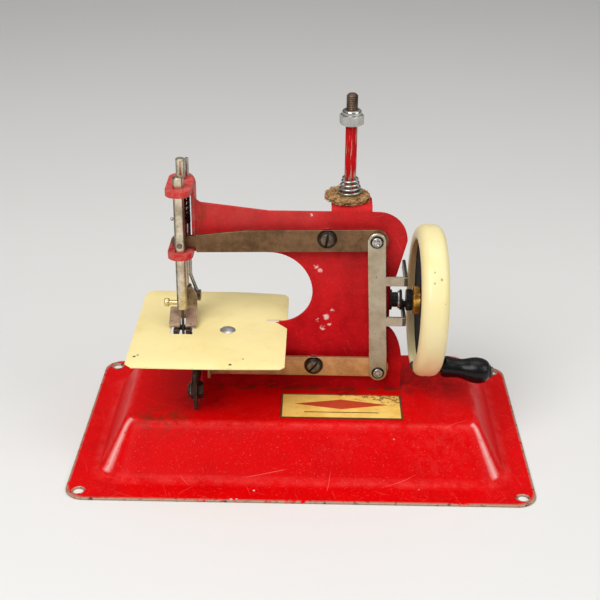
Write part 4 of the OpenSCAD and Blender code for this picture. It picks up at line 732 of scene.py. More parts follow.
def stand_for(piece, node):
    """The piece takes the place and the body of a CAD node, which is hidden."""
    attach(piece, BODY_OF[node])
    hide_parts(node)
    return piece


def formed(node, label, shape, finish, sharp=SHARP_ANGLE):
    """A modelled piece that stands for a CAD node."""
    return stand_for(add_piece(f"{node}.{label}", shape, [finish], sharp), node)


def cut_away(piece, shape, finish):
    """Cuts a shape out of a piece; the cut faces take the finish."""
    cutter = add_piece("cutter", shape, [finish])
    cut = piece.modifiers.new("cut", "BOOLEAN")
    cut.operation = "DIFFERENCE"
    cut.solver = "EXACT"
    cut.material_mode = "TRANSFER"
    cut.object = cutter
    graph = bpy.context.evaluated_depsgraph_get()
    mesh = bpy.data.meshes.new_from_object(piece.evaluated_get(graph))
    piece.modifiers.clear()
    piece.data = mesh
    bpy.data.objects.remove(cutter)


def node_shape(node):
    """A CAD node's mesh, welded and with its flat faces whole, as a new mesh."""
    source = nodes[node].data
    mesh = bpy.data.meshes.new(node + "_shape")
    mesh.from_pydata([tuple(v.co) for v in source.vertices], [], [tuple(p.vertices) for p in source.polygons])
    return smoothed(mesh, True)


def round_edges(piece, width, sharp):
    """Rounds edges by a width in millimetres; the rounded faces take the piece's second finish."""
    bevel = piece.modifiers.new("edges", "BEVEL")
    bevel.width = width * MM
    bevel.segments = EDGE_SEGMENTS
    bevel.limit_method = "ANGLE"
    bevel.angle_limit = math.radians(sharp)
    bevel.material = 1
    piece.modifiers.new("even_shade", "WEIGHTED_NORMAL").keep_sharp = True


def dressed(node, face, edge, width):
    """A copy of a CAD node with rounded edges, which take the edge finish."""
    piece = as_piece(node + ".dressed", node_shape(node), (face, edge), NODE_SHARP)
    round_edges(piece, width, NODE_SHARP)
    return stand_for(piece, node)


def lathe(profile, steps, matrix=Matrix(), closed=False, swell=None):
    """Turns a profile of (along, radius) round +Z and moves it; swell changes radii by angle and place."""
    verts, faces, rows = [], [], []
    for along_axis, radius in profile:
        if radius <= 0:
            rows.append([len(verts)] * steps)
            verts.append(matrix @ Vector((0.0, 0.0, along_axis)))
            continue
        rows.append(list(range(len(verts), len(verts) + steps)))
        for i in range(steps):
            angle = TURN * i / steps
            r = swell(angle, along_axis, radius) if swell else radius
            verts.append(matrix @ polar(r, angle, along_axis))
    for low, high in zip(rows, rows[1:] + rows[:1] if closed else rows[1:]):
        for i in range(steps):
            j = (i + 1) % steps
            face = list(dict.fromkeys((low[i], low[j], high[j], high[i])))
            if len(face) > 2:
                faces.append(face)
    if not closed:
        faces += [row for row in (rows[0], rows[-1]) if len(set(row)) > 1]
    return verts, faces


def skin(rings, closed=False):
    """Joins rings that have as many points each; what isn't closed is capped at both ends."""
    count, rows = len(rings[0]), len(rings)
    faces = []
    for k in range(rows if closed else rows - 1):
        low, high = k * count, (k + 1) % rows * count
        for i in range(count):
            j = (i + 1) % count
            faces.append([low + i, low + j, high + j, high + i])
    if not closed:
        faces += [[start + i for i in range(count)] for start in (0, (rows - 1) * count)]
    return [point for ring in rings for point in ring], faces


def moved(shape, matrix):
    verts, faces = shape
    return [matrix @ v for v in verts], faces


def joined(*shapes):
    verts, faces = [], []
    for some_verts, some_faces in shapes:
        start = len(verts)
        verts += some_verts
        faces += [[start + i for i in face] for face in some_faces]
    return verts, faces


def along(direction, place):
    """Matrix that lays +Z along a direction, from a place."""
    return Matrix.Translation(place) @ Vector(direction).to_track_quat("Z", "Y").to_matrix().to_4x4()


def lerp(a, b, t):
    return a + (b - a) * t


def bend(a, b, c, t):
    """A point of the curve from a to c that heads for b."""
    return (1 - t) ** 2 * a + 2 * t * (1 - t) * b + t * t * c


def polar(radius, angle, z=0.0):
    """A point at a radius and an angle about +Z."""
    return Vector((radius * math.cos(angle), radius * math.sin(angle), z))


def ring_noise(angle, waves, z):
    """Noise round +Z that changes faster with more waves."""
    return noise.noise(polar(waves, angle, z))


def ridge(count, angle):
    """Height of a row of ridges round an axis, from 0 to 1."""
    return 0.5 + 0.5 * math.cos(count * angle)


def corner_arc(centre, radius, start, end, steps=6):
    """Points of an arc in the profile's plane, angles in degrees."""
    angles = (math.radians(lerp(start, end, i / steps)) for i in range(steps + 1))
    return [(centre[0] + radius * math.cos(a), centre[1] + radius * math.sin(a)) for a in angles]


def tube(path, radius, sides):
    """A round wire along a path."""
    rings, side = [], None
    for i, point in enumerate(path):
        ahead = (path[min(i + 1, len(path) - 1)] - path[max(i - 1, 0)]).normalized()
        if side is None:
            side = ahead.orthogonal().normalized()
        side = (side - ahead * side.dot(ahead)).normalized()
        up = ahead.cross(side)
        angles = (TURN * k / sides for k in range(sides))
        rings.append([point + radius * (math.cos(a) * side + math.sin(a) * up) for a in angles])
    return skin(rings)


NUT_FACETS = 8
NUT_SHARP = 35
NUT_FACE_SHARE = 0.97
NUT_SINK_SHARE = 0.12


def chamfered_nut(corner_r, height, bore_r):
    """A hexagon nut on the XY plane, its corners turned off in a cone, with a countersunk bore."""
    half_side = TURN / 12
    flat_r = corner_r * math.cos(half_side)
    face_r = NUT_FACE_SHARE * flat_r
    sink_r = bore_r + NUT_SINK_SHARE * corner_r
    rings = [[] for _ in range(8)]
    for i in range(6 * NUT_FACETS):
        angle = half_side * 2 * i / NUT_FACETS
        hex_r = flat_r / math.cos(angle % (2 * half_side) - half_side)
        drop = math.tan(half_side) * (hex_r - face_r)
        section = (
            (bore_r, sink_r - bore_r), (sink_r, 0.0), (face_r, 0.0), (hex_r, drop),
            (hex_r, height - drop), (face_r, height), (sink_r, height), (bore_r, height - sink_r + bore_r),
        )
        for ring, (r, z) in zip(rings, section):
            ring.append(polar(r, angle, z))
    return skin(rings, True)


# Base


FLANGE = (11 * MM, 13.5 * MM)
SLOPE_RUN = (13.4 * MM, 15.4 * MM)
CORNER_R = (9 * MM, 14 * MM, 8 * MM)
CORNER_MIN_R = 2 * MM
SHEET = 1 * MM
BASE_LIP = 0.25 * MM
SLOPE_LEG = 3 * MM
CREASE = 3.4 * MM
CREASE_SHARE = 0.87
# Where the painted highlight runs down the front corners, and how narrow it is
SHINE_Z = (3 * SHEET, PLATEAU_Z - 0.5 * MM)
SHINE_SHARE = 3.4
DRILL = (-2 * MM, 4 * MM)
DRILL_FACETS = 40
BASE_SHARP = 60
RING_ARC = 14
RING_LONG = 30
RING_SHORT = 16
LIP_SHARES = (0.0, 0.5, 1.0)
FLANGE_SHARES = (0.06, 0.12, 0.3, 0.5, 0.68)
SLOPE_SHARES = (0.2, 0.4, 0.6, 0.8, 0.95)
FOOT_STEPS = 6
FOOT_CREASE_SHARE = 0.7
RIM_FADE_SHARE = 0.6
CREASE_STEPS = 8
PLATEAU_STEPS = (4 * MM, 9 * MM, 16 * MM, 22 * MM)


def base_ring(insets, corner, z):
    """Points of a round-cornered rectangle, counter-clockwise, with the straight runs divided."""
    half_w, half_d = BASE_HALF[0] - insets[0], BASE_HALF[1] - insets[1]
    arcs = []
    for sx, sy, start in ((1, 1, 0), (-1, 1, 90), (-1, -1, 180), (1, -1, 270)):
        centre = (sx * (half_w - corner), sy * (half_d - corner))
        arcs.append([Vector((*p, z)) for p in corner_arc(centre, corner, start, start + 90, RING_ARC)])
    points = []
    for i, arc in enumerate(arcs):
        runs = RING_SHORT if i % 2 else RING_LONG
        after = arcs[(i + 1) % 4][0]
        points += arc + [arc[-1].lerp(after, k / runs) for k in range(1, runs)]
    return points


def corner_shares():
    """How near each point of a ring is to the middle of a corner, in the ring's order."""
    arc = [max(0.0, 1 - abs(2 * k / RING_ARC - 1) * SHINE_SHARE) for k in range(RING_ARC + 1)]
    return 2 * (arc + [0.0] * (RING_LONG - 1) + arc + [0.0] * (RING_SHORT - 1))


def on_slope(z):
    """Insets of the pan's sloped side at a height."""
    return tuple(f + run * z / PLATEAU_Z for f, run in zip(FLANGE, SLOPE_RUN))


def base_levels():
    """The sheet's outer face from its edge to the plateau: insets, corner, height, crease and rim shares."""
    edge, foot, top = CORNER_R
    foot_z, crease_z = SHEET + SLOPE_LEG, PLATEAU_Z - CREASE * CREASE_SHARE
    levels = []
    for t in LIP_SHARES:
        inset = BASE_LIP * t * t
        levels.append(((inset, inset), edge, SHEET - BASE_LIP * (1 - t) ** 2, 0.0, 1.0))
    for i, t in enumerate(FLANGE_SHARES):
        insets = tuple(t * f for f in FLANGE)
        levels.append((insets, lerp(edge, foot, t), SHEET, 0.0, 0.0 if i else RIM_FADE_SHARE))
    for i in range(FOOT_STEPS + 1):
        t = i / FOOT_STEPS
        insets = tuple(
            bend(f - SLOPE_LEG, c, u, t) for f, c, u in zip(FLANGE, on_slope(SHEET), on_slope(foot_z))
        )
        share = FOOT_CREASE_SHARE * (1 - abs(2 * t - 1))
        levels.append((insets, foot, bend(SHEET, SHEET, foot_z, t), share, 0.0))
    for t in SLOPE_SHARES:
        z = lerp(foot_z, crease_z, t)
        levels.append((on_slope(z), lerp(foot, top, t), z, 0.0, 0.0))
    for i in range(CREASE_STEPS + 1):
        t = i / CREASE_STEPS
        insets = tuple(bend(a, b, b + CREASE, t) for a, b in zip(on_slope(crease_z), on_slope(PLATEAU_Z)))
        z = bend(crease_z, PLATEAU_Z, PLATEAU_Z, t)
        levels.append((insets, top, z, (1.0 - abs(2 * t - 1)) ** 2, 0.0))
    for depth in PLATEAU_STEPS:
        deeper = tuple(a + depth for a in insets)
        levels.append((deeper, max(top - depth, CORNER_MIN_R), PLATEAU_Z, 0.0, 0.0))
    return levels


def base_pan():
    """Pressed pan: one closed sheet with soft creases, drilled at the corners."""
    outer = base_levels()
    inner = [
        ((a[0] + SHEET, a[1] + SHEET) if z > SHEET * 1.01 else a, corner, max(z - SHEET, 0.0), 0.0, 0.0)
        for a, corner, z, _, _ in outer[len(LIP_SHARES):]
    ]
    edge = CORNER_R[0]
    lip = [((BASE_LIP, BASE_LIP), edge, 0.0, 0.0, 1.0), ((0.0, 0.0), edge, BASE_LIP, 0.0, 1.0)]
    shares = corner_shares()
    rings, crease, rim, corners = [], [], [], []
    for insets, corner, z, crease_share, rim_share in inner[::-1] + lip + outer:
        ring = base_ring(insets, corner, z)
        rings.append(ring)
        crease += [crease_share] * len(ring)
        rim += [rim_share] * len(ring)
        # Painted highlight down the front corners, on the slope only
        shines = SHINE_Z[0] < z < SHINE_Z[1]
        corners += [share if shines and p.y < 0 else 0.0 for share, p in zip(shares, ring)]
    piece = add_piece("base_pan.pressed", skin(rings), ["base"], BASE_SHARP)
    for name, values in (("crease", crease), ("rim", rim), ("corner", corners)):
        piece.data.attributes.new(name, "FLOAT", "POINT").data.foreach_set("value", values)
    x, y = HOLE_PLACE
    places = [Matrix.Translation((sx * x, sy * y, 0)) for sx in (-1, 1) for sy in (-1, 1)]
    drills = [lathe([(z, HOLE_R) for z in DRILL], DRILL_FACETS, place) for place in places]
    cut_away(piece, joined(*drills), "base")
    return stand_for(piece, "base_pan")


# Table


TABLE_STEP = 2.5 * MM
TABLE_ROLL = 6 * MM
TABLE_DROP = 0.75 * MM
TABLE_THIN = 0.55 * MM
TABLE_DROOP = 1.2 * MM
TABLE_DENT = 0.12 * MM
TABLE_EDGE = 0.25
TABLE_EDGE_ANGLE = 45
BENT_SHARES = (0.66, 0.62)
WAVES = 22
WAVE_LAYER = 0.3
ROLL_WANDER_SHARE = 0.4


def table_sag(place, low, high):
    """How far the sheet hangs down: a rolled rim all round and a bent corner at the right back."""
    rim = min(place.x - low.x, high.x - place.x, place.y - low.y, high.y - place.y)
    roll = max(0.0, 1.0 - rim / TABLE_ROLL) ** 2
    corner = 1.0
    for axis, start in zip((X, Y), BENT_SHARES):
        share = (place[axis] - low[axis]) / (high[axis] - low[axis])
        corner *= max(0.0, share - start) / (1 - start)
    wave = noise.noise(Vector((place.x * WAVES, place.y * WAVES, WAVE_LAYER)))
    return TABLE_DROP * roll * (1 + ROLL_WANDER_SHARE * wave) + TABLE_DROOP * corner + TABLE_DENT * wave


def work_table():
    """The sheet table with a rolled-down rim, dented and bent at the right back."""
    mesh = node_shape("work_table")
    shape = bmesh.new()
    shape.from_mesh(mesh)
    low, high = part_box("work_table")
    for axis, normal in ((X, RIGHT), (Y, BACK)):
        count = int((high[axis] - low[axis]) / TABLE_STEP)
        for i in range(1, count):
            place = Vector(low)
            place[axis] = lerp(low[axis], high[axis], i / count)
            geometry = shape.verts[:] + shape.edges[:] + shape.faces[:]
            bmesh.ops.bisect_plane(shape, geom=geometry, plane_co=place, plane_no=normal, dist=WELD)
    for vert in shape.verts:
        under = vert.co.z < (low.z + high.z) / 2
        vert.co.z += (TABLE_THIN if under else 0.0) - table_sag(vert.co, low, high)
    shape.to_mesh(mesh)
    shape.free()
    piece = as_piece("work_table.bent", mesh, ("table", "cream_edge"), NODE_SHARP)
    round_edges(piece, TABLE_EDGE, TABLE_EDGE_ANGLE)
    return stand_for(piece, "work_table")


# Drive


RIM_TILT = (1.3, 1.8)
RIM_FACETS = 128
RIM_DEEP = 7 * MM
RIM_SHOULDER = 4.5 * MM
RIM_LIP = 1.2 * MM
THIRDS = (0.33, 0.67)


def wheel_rim():
    """Crowned rim with soft shoulders, a little out of true on its disc."""
    size = span("hand_wheel")
    width, outer = size.x, size.z / 2
    inner, shoulder, lip = outer - RIM_DEEP, RIM_SHOULDER, RIM_LIP
    profile = (
        corner_arc((lip, inner + lip), lip, 270, 180)
        + corner_arc((shoulder, outer - shoulder), shoulder, 180, 90, 12)
        + [(lerp(shoulder, width - shoulder, t), outer) for t in THIRDS]
        + corner_arc((width - shoulder, outer - shoulder), shoulder, 90, 0, 12)
        + corner_arc((width - lip, inner + lip), lip, 0, -90)
        + [(lerp(width - lip, lip, t), inner) for t in THIRDS]
    )
    swing, lean = (math.radians(a) for a in RIM_TILT)
    tilt = Matrix.Rotation(swing, 4, "Y") @ Matrix.Rotation(lean, 4, "Z")
    about = Matrix.Translation(WHEEL_CENTRE) @ tilt @ Matrix.Translation(-WHEEL_CENTRE)
    shape = lathe(profile, RIM_FACETS, about @ along(RIGHT, seat("hand_wheel", X)), True)
    return formed("hand_wheel", "rim", shape, "wheel")


KNOB_START = 0.8 * MM
KNOB_L = 22.7 * MM
KNOB_R = 6.1 * MM
KNOB_BORE = 1.9 * MM
KNOB_ROWS = 70
KNOB_FACETS = 72
KNOB_SHARES = (0.7, 0.82, 0.81, 0.77, 0.74, 0.735, 0.76, 0.83, 0.91, 0.97, 1, 0.985, 0.93, 0.8, 0.52)


def smooth_row(values, steps):
    """A smooth curve through even values."""
    count = len(values) - 1
    row = []
    for i in range(steps + 1):
        at = count * i / steps
        k = min(int(at), count - 1)
        t = at - k
        a, b, c, d = (values[min(max(k + o, 0), count)] for o in (-1, 0, 1, 2))
        row.append(b + t * (c - a + t * (2 * a - 5 * b + 4 * c - d + t * (3 * (b - c) + d - a))) / 2)
    return row


def crank_knob():
    """Turned knob: collar, waist and swelling grip."""
    joint = JOINT_OF["knob_spin"]
    place, axis = Vector(joint["pos_m"]), Vector(joint["axis"])
    grip = [(KNOB_L * i / KNOB_ROWS, KNOB_R * r) for i, r in enumerate(smooth_row(KNOB_SHARES, KNOB_ROWS))]
    profile = [(0.0, KNOB_BORE)] + grip + [(KNOB_L, KNOB_BORE)]
    shape = lathe(profile, KNOB_FACETS, along(axis, place + KNOB_START * axis), True)
    return formed("crank_knob", "turned", shape, "knob")


KNURLS = 26
COLLAR_L = 3 * MM
COLLAR_R = 5.05 * MM
COLLAR_START = 0.1 * MM
COLLAR_BEVEL = (0.4 * MM, 0.5 * MM)
KNURL_DEEP = 0.45 * MM
KNURL_POWER = 0.7
KNURL_SHARP = 50


def collar_knurl():
    """Knurled skin of the crankshaft's collar."""
    run, drop = COLLAR_BEVEL
    profile = [
        (COLLAR_START, COLLAR_R - drop), (COLLAR_START + run, COLLAR_R),
        (COLLAR_L - run, COLLAR_R), (COLLAR_L, COLLAR_R - drop),
    ]

    def ridges(angle, along_axis, r):
        return r - KNURL_DEEP * ridge(KNURLS, angle) ** KNURL_POWER

    place = Vector((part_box("wheel_hub")[0].x - COLLAR_L, WHEEL_CENTRE.y, WHEEL_CENTRE.z))
    shape = lathe(profile, KNURLS * 6, along(RIGHT, place), False, ridges)
    piece = add_piece("crankshaft.knurl", shape, ["black"], KNURL_SHARP)
    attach(piece, "wheel")
    return piece


HUB_SIDES = 8
HUB_FACETS = 96
HUB_BORE = 2.3 * MM
HUB_SOFT = 0.8 * MM
HUB_LUMP_SHARE = 0.05
HUB_FACE_SHARES = (0.8, 0.6)
HUB_BARREL_SHARES = (0.35, 0.5, 0.65)
HUB_CORE_SHARE = 0.7
HUB_WAVES = (2, 300)


def wheel_hub():
    """Rough cast hub, eight-sided and uneven."""
    size = span("wheel_hub")
    length, radius, soft = size.x, size.z / 2, HUB_SOFT
    profile = (
        [(0.0, HUB_BORE), (0.0, radius * HUB_FACE_SHARES[0])]
        + corner_arc((soft, radius - soft), soft, 180, 90, 4)
        + [(length * t, radius) for t in HUB_BARREL_SHARES]
        + corner_arc((length - soft, radius - soft), soft, 90, 0, 4)
        + [(length, radius * HUB_FACE_SHARES[1]), (length, HUB_BORE)]
    )

    def cast(angle, along_axis, r):
        if r < radius * HUB_CORE_SHARE:
            return r
        sector = TURN / HUB_SIDES
        facet = math.cos(sector / 2) / math.cos(angle % sector - sector / 2)
        lump = ring_noise(angle, HUB_WAVES[0], along_axis * HUB_WAVES[1])
        return r * min(1.0, facet + HUB_LUMP_SHARE * lump)

    place = Vector((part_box("wheel_hub")[0].x, WHEEL_CENTRE.y, WHEEL_CENTRE.z))
    shape = lathe(profile, HUB_FACETS, along(RIGHT, place), True, cast)
    return formed("wheel_hub", "cast", shape, "brass")


# Spool


THREAD_L = 13 * MM
THREAD_PITCH = 0.8 * MM
THREAD_DEEP = 0.42 * MM
THREAD_POWER = 1.4
THREAD_GAP = 0.3 * MM
PIN_BEVEL = 0.4 * MM
PIN_FACETS = 48
PIN_SHARP = 60
# The pin's tip: how far below the top and how far inside the radius each step is
PIN_TIP = ((0.3 * MM, 0.7 * MM), (0.0, 1.1 * MM))
PIN_TIP_L = 0.9 * MM


def pin_seat(z):
    """Place on the spool pin's axis at a height."""
    place = seat("spool_pin", Z)
    place.z = z
    return place


def spool_pin():
    """Painted pin with a threaded, bare top."""
    low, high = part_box("spool_pin")
    radius = (high.x - low.x) / 2
    thread_z, tip_z = high.z - THREAD_L, high.z - PIN_TIP_L
    count = int((tip_z - thread_z) / (THREAD_PITCH / 6))
    profile = (
        [(low.z, radius - PIN_BEVEL), (low.z + PIN_BEVEL, radius), (thread_z - THREAD_GAP, radius)]
        + [(lerp(thread_z, tip_z, i / count), radius) for i in range(count + 1)]
        + [(high.z - drop, radius - inset) for drop, inset in PIN_TIP]
        + [(high.z, 0.0)]
    )

    def thread(angle, z, r):
        if not thread_z <= z <= tip_z:
            return r
        phase = (z / THREAD_PITCH - angle / TURN) % 1.0
        return r - THREAD_DEEP * abs(2 * phase - 1) ** THREAD_POWER

    shape = lathe(profile, PIN_FACETS, Matrix.Translation(pin_seat(0.0)), False, thread)
    piece = add_piece("spool_pin.threaded", shape, ["pin", "dark_edge"], PIN_SHARP)
    for face in piece.data.polygons:
        face.material_index = 1 if face.center.z > thread_z else 0
    return stand_for(piece, "spool_pin")


LOCK_NUT_TURN = -15
LOCK_NUT_R = 5.5 * MM
LOCK_NUT_H = 4.7 * MM
LOCK_NUT_BORE = 2.65 * MM
LOCK_RING_R = 4.3 * MM
LOCK_RING_SOFT = 1.1 * MM
LOCK_RING_SUNK = 0.2 * MM
LOCK_RING_DISH = (0.5 * MM, 0.1 * MM)
LOCK_RING_FACETS = 48


def spool_lock_nut():
    """Chamfered hexagon with the rounded collar that holds its locking ring."""
    low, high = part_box("spool_lock_nut")
    top, soft, foot = high.z - low.z, LOCK_RING_SOFT, LOCK_NUT_H - LOCK_RING_SUNK
    collar = (
        [(foot, LOCK_NUT_BORE + LOCK_RING_SUNK), (foot, LOCK_RING_R)]
        + corner_arc((top - soft, LOCK_RING_R - soft), soft, 90, 0, 8)
        + [(top - LOCK_RING_DISH[0], LOCK_NUT_BORE + LOCK_RING_DISH[1])]
    )
    hexagon = chamfered_nut(LOCK_NUT_R, LOCK_NUT_H, LOCK_NUT_BORE)
    shape = joined(hexagon, lathe(collar, LOCK_RING_FACETS, closed=True))
    place = Matrix.Translation(pin_seat(low.z)) @ Matrix.Rotation(math.radians(LOCK_NUT_TURN), 4, "Z")
    return formed("spool_lock_nut", "turned", moved(shape, place), "nut", NUT_SHARP)


COIL_STEPS = 28
COIL_SIDES = 10
COIL_SHARP = 60
TENSION_WIRE = 0.45 * MM
TENSION_R = (5.2 * MM, 3.25 * MM)
TENSION_TURNS = (4, 0.3)
PRESSER_WIRE = 0.42 * MM
PRESSER_TURNS = (6, 0.5)


def wound_spring(node, radii, wire, turns, finish, place):
    """A wound wire on a place's upright axis: radii at both ends, turns between and at rest at each end."""
    low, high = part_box(node)
    climbing, rest = turns
    total = climbing + 2 * rest
    steps = int(total * COIL_STEPS)
    path = []
    for i in range(steps + 1):
        t = total * i / steps
        u = min(max((t - rest) / climbing, 0.0), 1.0)
        r, z = lerp(*radii, u), lerp(low.z + wire, high.z - wire, u)
        path.append(polar(r, TURN * t, z))
    shape = moved(tube(path, wire, COIL_SIDES), Matrix.Translation((place.x, place.y, 0)))
    return formed(node, "wire", shape, finish, COIL_SHARP)


def tension_spring():
    """Conical wire spring on the felt."""
    wound_spring("tension_spring", TENSION_R, TENSION_WIRE, TENSION_TURNS, "bright", pin_seat(0.0))


def presser_spring():
    """Coil spring of the presser bar, with a mesh of its own; the real spring shortens as the bar rises."""
    size = span("presser_spring")
    radius = size.x / 2 - PRESSER_WIRE
    place = seat("presser_spring", Z)
    piece = wound_spring("presser_spring", (radius, radius), PRESSER_WIRE, PRESSER_TURNS, "dark", place)
    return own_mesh(piece)


FIBRES = 600
FIBRE_STEPS = 6
FIBRE_SIDES = 4
FIBRE_R = (0.07 * MM, 0.15 * MM)
FIBRE_STRIDE = (0.3 * MM, 0.6 * MM)
FIBRE_RISE = 0.6 * MM
FIBRE_TOP_SHARE = 0.45
FIBRE_HEIGHTS = (0.1, 1.0)
FIBRE_TOP_REACH = (0.4, 0.95)
FIBRE_RIM_REACH = (0.9, 1.02)
FIBRE_OUTWARD = (-0.4, 0.5)
FIBRE_UPWARD = (-0.5, 0.4)
FIBRE_CURL = 0.6
FIBRE_INWARD = 0.3
FELT_FACETS = 144
FELT_SHARP = 80
FELT_HOLE_R = 2.75 * MM
FELT_SOFT = 0.15 * MM
FELT_FLOOR = 0.05 * MM
FELT_UNDER = 0.1 * MM
FELT_LUMPS = (0.5 * MM, 0.6 * MM)
FELT_TORN_SHARE = 0.09
FELT_WANDER = (1.5, 4.1)
FELT_FRILL = (6, 700)
FELT_FINE_WAVES = 520
FELT_BIG_WAVES = 190
FELT_BIG_LAYER = 2.0
FELT_FLAT_SHARE = 0.3
FELT_LOW_SHARES = (0.25, 0.45, 0.62, 0.78)
FELT_TOP_SHARES = (0.76, 0.62, 0.5, 0.37, 0.25, 0.12)


def felt_pad(radius, thick, hole):
    """Lumpy matted pad with a torn rim; the hole is off its middle."""
    profile = (
        [(FELT_SOFT, FELT_HOLE_R)]
        + [(FELT_UNDER, lerp(FELT_HOLE_R, radius, s)) for s in FELT_LOW_SHARES]
        + corner_arc((thick * 0.5, radius - thick * 0.5), thick * 0.5, -80, 80, 16)
        + [(thick, lerp(FELT_HOLE_R, radius, s)) for s in FELT_TOP_SHARES]
        + [(thick - FELT_SOFT, FELT_HOLE_R)]
    )

    def torn(angle, along_axis, r):
        wander = ring_noise(angle, *FELT_WANDER)
        frill = ring_noise(angle, FELT_FRILL[0], along_axis * FELT_FRILL[1])
        return r * (1 + (r / radius) ** 3 * FELT_TORN_SHARE * (wander + frill))

    verts, faces = lathe(profile, FELT_FACETS, closed=True, swell=torn)
    hole_share = FELT_HOLE_R / radius
    for vert in verts:
        share = min(Vector((vert.x, vert.y, 0)).length / radius, 1.1)
        lump = noise.noise(vert * FELT_FINE_WAVES)
        big = noise.noise(Vector((vert.x * FELT_BIG_WAVES, vert.y * FELT_BIG_WAVES, FELT_BIG_LAYER)))
        inside = max(0.0, 1.0 - (share - hole_share) / (1 - hole_share))
        vert.x += hole.x * inside
        vert.y += hole.y * inside
        rise = min(1.0, vert.z / (0.5 * thick)) * min(1.0, max(0.0, share - FELT_FLAT_SHARE) * 2)
        vert.z = max(vert.z + (FELT_LUMPS[0] * lump + FELT_LUMPS[1] * big) * rise, FELT_FLOOR)
    return verts, faces


def felt_strand(draw, radius, thick):
    """One loose fibre that curls about the pad's rim or over its top."""
    angle = draw.uniform(0, TURN)
    on_top = draw.random() < FIBRE_TOP_SHARE
    height = thick + FELT_UNDER if on_top else draw.uniform(*FIBRE_HEIGHTS) * thick
    reach = radius * draw.uniform(*(FIBRE_TOP_REACH if on_top else FIBRE_RIM_REACH))
    outward = polar(1, angle)
    point = polar(reach, angle, height)
    heading = Vector((-math.sin(angle), math.cos(angle), 0)) * draw.choice((-1, 1))
    heading += outward * draw.uniform(*FIBRE_OUTWARD)
    heading += UP * draw.uniform(*FIBRE_UPWARD)
    heading.normalize()
    stride = draw.uniform(*FIBRE_STRIDE)
    path = []
    for _ in range(FIBRE_STEPS):
        path.append(point.copy())
        curl = Vector([draw.uniform(-1, 1) for _ in range(3)])
        outside = Vector((point.x, point.y, 0)).normalized()
        heading = (heading + FIBRE_CURL * curl - FIBRE_INWARD * outside).normalized()
        point += heading * stride
        point.z = min(max(point.z, FELT_UNDER), thick + FIBRE_RISE)
    return tube(path, draw.uniform(*FIBRE_R), FIBRE_SIDES)


def felt_washer():
    """Torn wool washer about the pin, with loose fibres."""
    draw = random.Random(SEED)
    size = span("felt_washer")
    radius, thick = size.x / 2, size.z
    centre = seat("felt_washer", Z)
    place = Matrix.Translation(centre)
    pad = felt_pad(radius, thick, pin_seat(centre.z) - centre)
    formed("felt_washer", "wool", moved(pad, place), "wool", FELT_SHARP)
    strands = joined(*(felt_strand(draw, radius, thick) for _ in range(FIBRES)))
    fluff = add_piece("felt_washer.fibres", moved(strands, place), ["fibre"], FELT_SHARP)
    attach(fluff, BODY_OF["felt_washer"])


# Fasteners


# Corner radius, height and bore of each kind of nut
LEVER_NUT = (4 * MM, 2.4 * MM, 2.05 * MM)
SPOOL_NUT = (4.4 * MM, 3.4 * MM, 2.65 * MM)
WHEEL_NUT = (7 * MM, 3.2 * MM, 2.25 * MM)


def hex_nuts():
    """Small nuts with turned-off corners, in place of the plain ones."""
    def nuts_at(node, size, axis, places, finish="zinc"):
        shape = joined(*(moved(chamfered_nut(*size), along(axis, place)) for place in places))
        formed(node, "chamfered", shape, finish, NUT_SHARP)

    pivots = [JOINT_OF[name]["pos_m"] for name in ("needle_lever_swing", "looper_lever_swing")]
    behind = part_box("lever_nuts")[0].y
    nuts_at("lever_nuts", LEVER_NUT, BACK, [Vector((p[X], behind, p[Z])) for p in pivots])
    hook = JOINT_OF["looper_swing"]["pos_m"]
    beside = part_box("looper_nut")[0].x
    nuts_at("looper_nut", LEVER_NUT, RIGHT, [Vector((beside, hook[Y], hook[Z]))], "dark")
    nuts_at("spool_lower_nut", SPOOL_NUT, UP, [seat("spool_lower_nut", Z)])
    nuts_at("wheel_nut", WHEEL_NUT, RIGHT, [seat("wheel_nut", X)])


CLAMP_HEAD_L = 2.3 * MM
CLAMP_SHANK_R = 1.1 * MM
CLAMP_SOFT = (0.8 * MM, 0.4 * MM)
CLAMP_KNURLS = 18
CLAMP_SHARP = 45
CLAMP_KNURL_SHARE = 0.05


def clamp_screw():
    """Thumb screw with one rounded, finely knurled head."""
    size = span("needle_clamp_screw")
    length, head_r = size.x, size.z / 2
    front, back = CLAMP_SOFT
    profile = (
        [(0.0, 0.0)]
        + corner_arc((front, head_r - front), front, 180, 90, 8)
        + corner_arc((CLAMP_HEAD_L - back, head_r - back), back, 90, 0, 4)
        + [(CLAMP_HEAD_L, CLAMP_SHANK_R), (length, CLAMP_SHANK_R), (length, 0.0)]
    )

    def knurl(angle, along_axis, r):
        cut = CLAMP_KNURL_SHARE * ridge(CLAMP_KNURLS, angle)
        return r * (1 - cut) if r > CLAMP_SHANK_R + back else r

    shape = lathe(profile, 6 * CLAMP_KNURLS, along(RIGHT, seat("needle_clamp_screw", X)), False, knurl)
    return formed("needle_clamp_screw", "turned", shape, "pale_brass", CLAMP_SHARP)


def headed(face, head_r, arc, head_h, shank_r, length):
    """Profile of a screw or rivet: its head's face as depths and shares of the radius, rim and shank."""
    front = [(sunk, head_r * share) for sunk, share in face]
    return front + arc + [(head_h, head_r), (head_h, shank_r), (length, shank_r), (length, 0.0)]


SCREW_SLOT = (0.95 * MM, 0.9 * MM)
SCREW_HEAD_H = 2 * MM
SCREW_SHANK_R = 2 * MM
SCREW_SOFT = 0.7 * MM
SCREW_FACETS = 64
SCREW_RING_DEEP = 0.28 * MM
SCREW_FACE = ((0.0, 0.0), (0.06 * MM, 0.5), (0.22 * MM, 0.7), (0.42 * MM, 0.76))
